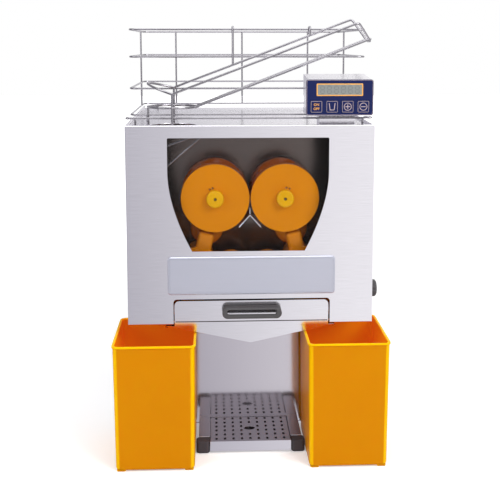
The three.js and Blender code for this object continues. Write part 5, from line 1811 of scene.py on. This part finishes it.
@dataclass
class ControlBox:
    """Control box with its film panel, display and four keys."""

    left: float = 94.0
    right: float = 208.0
    bottom: float = 597.7
    top: float = 658.2
    front: float = -205.0
    thickness: float = 3.0
    corner: float = 4.0
    display_low: Flat = (111.4, 630.5)
    display_high: Flat = (190.4, 651.7)
    key_x: float = 111.4
    key_pitch: float = 26.5
    key_z: float = 612.6
    key: float = 20.4
    key_proud: float = 0.6
    key_corner: float = 2.0
    flange: float = 1.2
    ink: float = 0.12
    line: float = 0.6
    # How far the printed frames stand inside an edge
    border_inset: float = 0.8
    surround_inset: float = 0.3
    surround_line: float = 1.7
    # First digit, pitch, height, width and stroke of the unlit digits, and how far a stroke is cut short
    digit_x: float = 121.4
    digit_pitch: float = 11.8
    digit: Flat = (12.4, 6.2)
    stroke: float = 1.3
    stroke_cut: Flat = (0.6, 0.5)
    letters: float = 5.8
    line_lifts: Flat = (3.4, -3.6)
    # Outer and inner outline of the tumbler's sign
    tumbler: tuple = (((-5.6, 6.0), (-3.9, -6.0), (3.9, -6.0), (5.6, 6.0)),
                      ((-4.4, 7.0), (-2.9, -4.8), (2.9, -4.8), (4.4, 7.0)))
    circle: Flat = (6.6, 5.5)
    bar: Flat = (4.0, 0.65)

    def build(self) -> list[bpy.types.Object]:
        """Build and dress the control box.

        Returns:
            Its pieces.
        """
        pieces = [keep("control_housing", SIDE_STEEL, 0.6), self._panel(), self._border(), self._display(),
                  self._surround(), self._segments()]
        return pieces + [piece for number in range(4) for piece in self._key(number)]

    def _frame(self, low: Flat, high: Flat, inset: float, radius: float, line: float,
               face: float) -> Blank:
        """Thin printed frame on a surface that faces the front.

        Args:
            low: Lowest corner of what it runs round.
            high: Highest corner.
            inset: How far inside these it starts.
            radius: Its outer corner radius.
            line: Width of the line.
            face: The surface, in Y.

        Returns:
            The frame.
        """
        low, high = (low[0] + inset, low[1] + inset), (high[0] - inset, high[1] - inset)
        inner = (low[0] + line, low[1] + line), (high[0] - line, high[1] - line)
        made = Blank().prism(rounded(low, high, radius), Axis.Y, face - self.ink, face)
        return made.pierce(rounded(*inner, max(radius - line, 0.4)), Axis.Y, face - self.ink, face)

    def _panel(self) -> bpy.types.Object:
        """Film panel with room for the display and the keys.

        Returns:
            The piece.
        """
        front, rear = self.front, self.front + self.thickness
        outline = rounded((self.left, self.bottom), (self.right, self.top), self.corner, 8)
        panel = Blank().prism(outline, Axis.Y, front, rear).ease(0.7, 3)
        low, high = self.display_low, self.display_high
        panel.pierce(rounded((low[0] - GAP, low[1] - GAP), (high[0] + GAP, high[1] + GAP), 1.8), Axis.Y,
                     front, rear)
        for number in range(4):
            panel.pierce(self._square(number, GAP, 2.3), Axis.Y, front, rear)
        return panel.piece("film_panel", NAVY, "root", ("control_panel",))

    def _square(self, number: int, margin: float, radius: float) -> list[Flat]:
        """Outline of a key, grown by a margin.

        Args:
            number: Which key, from the left.
            margin: The margin.
            radius: Radius of the corners.

        Returns:
            The outline.
        """
        x, half = self.key_x + number * self.key_pitch, self.key / 2 + margin
        return rounded((x - half, self.key_z - half), (x + half, self.key_z + half), radius)

    def _border(self) -> bpy.types.Object:
        """Pale line round the panel's edge.

        Returns:
            The piece.
        """
        border = self._frame((self.left, self.bottom), (self.right, self.top), self.border_inset, 3.4,
                             self.line, self.front)
        return border.piece("film_border", PALE_INK, "root")

    def _display(self) -> bpy.types.Object:
        """Display glass with softened edges.

        Returns:
            The piece.
        """
        outline = rounded(self.display_low, self.display_high, 1.5)
        glass = Blank().prism(outline, Axis.Y, self.front, self.front + self.thickness).ease(0.35)
        return glass.piece("display_pane", CRYSTAL, "root", ("display",))

    def _surround(self) -> bpy.types.Object:
        """Amber line round the display.

        Returns:
            The piece.
        """
        ring = self._frame(self.display_low, self.display_high, self.surround_inset, 1.4,
                           self.surround_line, self.front)
        return ring.piece("display_surround", AMBER_INK, "root")

    def _segments(self) -> bpy.types.Object:
        """Six unlit digits of seven segments each.

        Returns:
            The piece.
        """
        ink = Blank()
        (tall, wide), thick = self.digit, self.stroke / 2
        short_upright, short_flat = self.stroke_cut
        z = (self.display_low[1] + self.display_high[1]) / 2
        bars = [((0, level * tall / 2), True) for level in (-1, 0, 1)]
        bars += [((side * wide / 2, level * tall / 4), False) for side in (-1, 1) for level in (-1, 1)]
        for digit in range(6):
            x = self.digit_x + digit * self.digit_pitch
            for (dx, dz), flat in bars:
                long = wide / 2 - short_flat if flat else tall / 4 - short_upright
                outline = [(-long, 0), (-long + thick, -thick), (long - thick, -thick), (long, 0),
                           (long - thick, thick), (-long + thick, thick)]
                outline = [(x + dx + (a if flat else -b), z + dz + (b if flat else a)) for a, b in outline]
                ink.prism(outline, Axis.Y, self.front - self.ink, self.front + 0.05)
        return ink.piece("display_digits", SEGMENT_INK, "root")

    def _key(self, number: int) -> list[bpy.types.Object]:
        """One sprung key: its face and flange, its printed outline and its sign.

        Args:
            number: Which key, from the left.

        Returns:
            Its pieces.
        """
        x, z, half = self.key_x + number * self.key_pitch, self.key_z, self.key / 2
        face, rear = self.front - self.key_proud, self.front + self.thickness + GAP
        key = Blank().prism(self._square(number, 0.0, self.key_corner), Axis.Y, face, rear + self.flange / 2)
        key.ease(0.45, 3)
        key.join(Blank().prism(self._square(number, GAP + 1.0, self.key_corner), Axis.Y, rear,
                               rear + self.flange))
        outline = self._frame((x - half, z - half), (x + half, z + half), self.border_inset,
                              self.key_corner, self.line, face)
        sign = (self._words, self._cup_sign, self._plus_sign, self._minus_sign)[number](x, z, face)
        body, ink = f"button_{number + 1}", PALE_INK if number else AMBER_INK
        return [key.piece(f"sprung_key_{number + 1}", NAVY, body, (f"key_{number + 1}",)),
                outline.piece(f"key_outline_{number + 1}", PALE_INK, body),
                sign.piece(f"key_sign_{number + 1}", ink, body)]

    def _words(self, x: float, z: float, face: float) -> Blank:
        """The words of the switch key.

        Args:
            x: Middle of the key.
            z: Its middle height.
            face: Its face, in Y.

        Returns:
            The sign.
        """
        sign = Blank()
        for word, lift in zip(("ON", "OFF"), self.line_lifts):
            sign.lettering(word, self.letters, (x, z + lift), face, self.ink)
        return sign

    def _cup_sign(self, x: float, z: float, face: float) -> Blank:
        """A tumbler drawn in outline.

        Args:
            x: Middle of the key.
            z: Its middle height.
            face: Its face, in Y.

        Returns:
            The sign.
        """
        outer, inner = [[(x + dx, z + dz) for dx, dz in line] for line in self.tumbler]
        cup = Blank().prism(outer, Axis.Y, face - self.ink, face)
        return cup.pierce(inner, Axis.Y, face - self.ink, face)

    def _ringed(self, x: float, z: float, face: float) -> Blank:
        """A circle drawn in outline.

        Args:
            x: Middle of the key.
            z: Its middle height.
            face: Its face, in Y.

        Returns:
            The circle.
        """
        outer, inner = self.circle
        circle = Blank().rod(face - self.ink, face, outer, (x, z), Axis.Y, 48)
        return circle.cut(Blank().rod(face - PAST, face + PAST, inner, (x, z), Axis.Y, 48))

    def _minus_sign(self, x: float, z: float, face: float) -> Blank:
        """A minus in a circle.

        Args:
            x: Middle of the key.
            z: Its middle height.
            face: Its face, in Y.

        Returns:
            The sign.
        """
        long, thick = self.bar
        return self._ringed(x, z, face).box((x - long, face - self.ink, z - thick),
                                            (x + long, face, z + thick))

    def _plus_sign(self, x: float, z: float, face: float) -> Blank:
        """A plus in a circle.

        Args:
            x: Middle of the key.
            z: Its middle height.
            face: Its face, in Y.

        Returns:
            The sign.
        """
        long, thick = self.bar
        upright = Blank().box((x - thick, face - self.ink, z - long), (x + thick, face, z + long))
        level = Blank().box((x - long, face - self.ink, z - thick), (x + long, face, z + thick))
        return self._ringed(x, z, face).join(upright.join(level))


@dataclass
class BaseTray:
    """Base tongue with its drip pan, perforated grid and feet."""

    half: float = 70.5
    front: float = -190.2
    rear: float = -83.8
    grid_low: float = 19.0
    grid_top: float = 21.0
    columns: int = 9
    rows: int = 6
    pitch_x: float = 15.1
    pitch_y: float = 18.7
    hole: Flat = (4.0, 9.5)
    finger: Flat = (20.0, 15.0)
    bare_rows: tuple[int, int] = (2, 3)
    # How far the form that cuts the holes reaches past the grid
    past: float = 2.0
    middle_y: float = -137.0
    foot_x: Flat = (72.3, 96.3)
    foot_y: Flat = (-199.0, -175.0)
    foot_top: float = 22.0
    foot_corner: float = 6.0
    rear_foot: Flat = (180.0, 230.0)
    # Height and radius there
    rear_foot_profile: tuple[Flat, ...] = ((0.0, 13.4), (0.5, 14.5), (1.5, 15.0), (5.1, 14.2), (5.7, 13.6))

    def build(self) -> list[bpy.types.Object]:
        """Build and dress the base.

        Returns:
            Its pieces.
        """
        sides = ((-1, "left"), (1, "right"))
        return [keep("base_plate", BASE_STEEL, 0.9), keep("drip_pan", PAN_STEEL, 0.4), self._grid(),
                *(self._foot(side, name) for side, name in sides),
                *(self._rear_foot(side, name) for side, name in sides)]

    def _grid(self) -> bpy.types.Object:
        """Grid with rows of oblong drain holes and a finger hole.

        Returns:
            The piece.
        """
        low, top = self.grid_low, self.grid_top
        outline = rounded((-self.half, self.front), (self.half, self.rear), 2.0)
        plate = Blank().prism(outline, Axis.Z, low, top)
        holes = Blank()
        wide, long = self.hole
        for row in range(self.rows):
            for column in range(self.columns):
                if column == self.columns // 2 and row in self.bare_rows:
                    continue
                x = (column - (self.columns - 1) / 2) * self.pitch_x
                y = self.middle_y + (row - (self.rows - 1) / 2) * self.pitch_y
                outline = rounded((x - wide / 2, y - long / 2), (x + wide / 2, y + long / 2),
                                  wide / 2 - 0.05, 4)
                holes.prism(outline, Axis.Z, low - self.past, top + self.past)
        across, deep = self.finger[0] / 2, self.finger[1] / 2
        lens = [(across * math.cos(turn), self.middle_y + deep * math.sin(turn) * abs(math.sin(turn)) ** 0.3)
                for turn in (2 * math.pi * i / 40 for i in range(40))]
        holes.prism(lens, Axis.Z, low - self.past, top + self.past)
        return plate.cut(holes).ease(0.35, 2, 60).piece("drain_grid", GRID_STEEL, "grid", ("drip_grid",))

    def _foot(self, side: int, name: str) -> bpy.types.Object:
        """Rounded rubber cap on a front corner.

        Args:
            side: -1 for the left one, 1 for the right.
            name: Its side.

        Returns:
            The piece.
        """
        left, right = sorted((side * self.foot_x[0], side * self.foot_x[1]))
        outline = rounded((left, self.foot_y[0]), (right, self.foot_y[1]), self.foot_corner)
        cap = Blank().prism(outline, Axis.Z, 0.0, self.foot_top).ease(3.0, 4, 50)
        return cap.piece(f"rubber_cap_{name}", FOOT_RUBBER, "root", (f"front_foot_{name}",))

    def _rear_foot(self, side: int, name: str) -> bpy.types.Object:
        """Round rubber pad under a rear corner.

        Args:
            side: -1 for the left one, 1 for the right.
            name: Its side.

        Returns:
            The piece.
        """
        x, y = self.rear_foot
        pad = Blank().turned(self.rear_foot_profile, (side * x, y), Axis.Z, 48)
        return pad.piece(f"rubber_pad_{name}", FOOT_RUBBER, "root", (f"rear_foot_{name}",))


def main() -> None:
    """Build every sub-assembly in order and report its pieces."""
    logging.basicConfig(level=logging.INFO, format="%(message)s")
    for assembly in (Studio(), Housing(), Door(), DrumTrain(), Chamber(), JuicePath(), WasteBins(),
                     FruitRack(), ControlBox(), BaseTray()):
        for piece in assembly.build():
            log.info("%s: %s, %d faces", type(assembly).__name__, piece.name, len(piece.data.polygons))


if __name__ == "__main__":
    main()
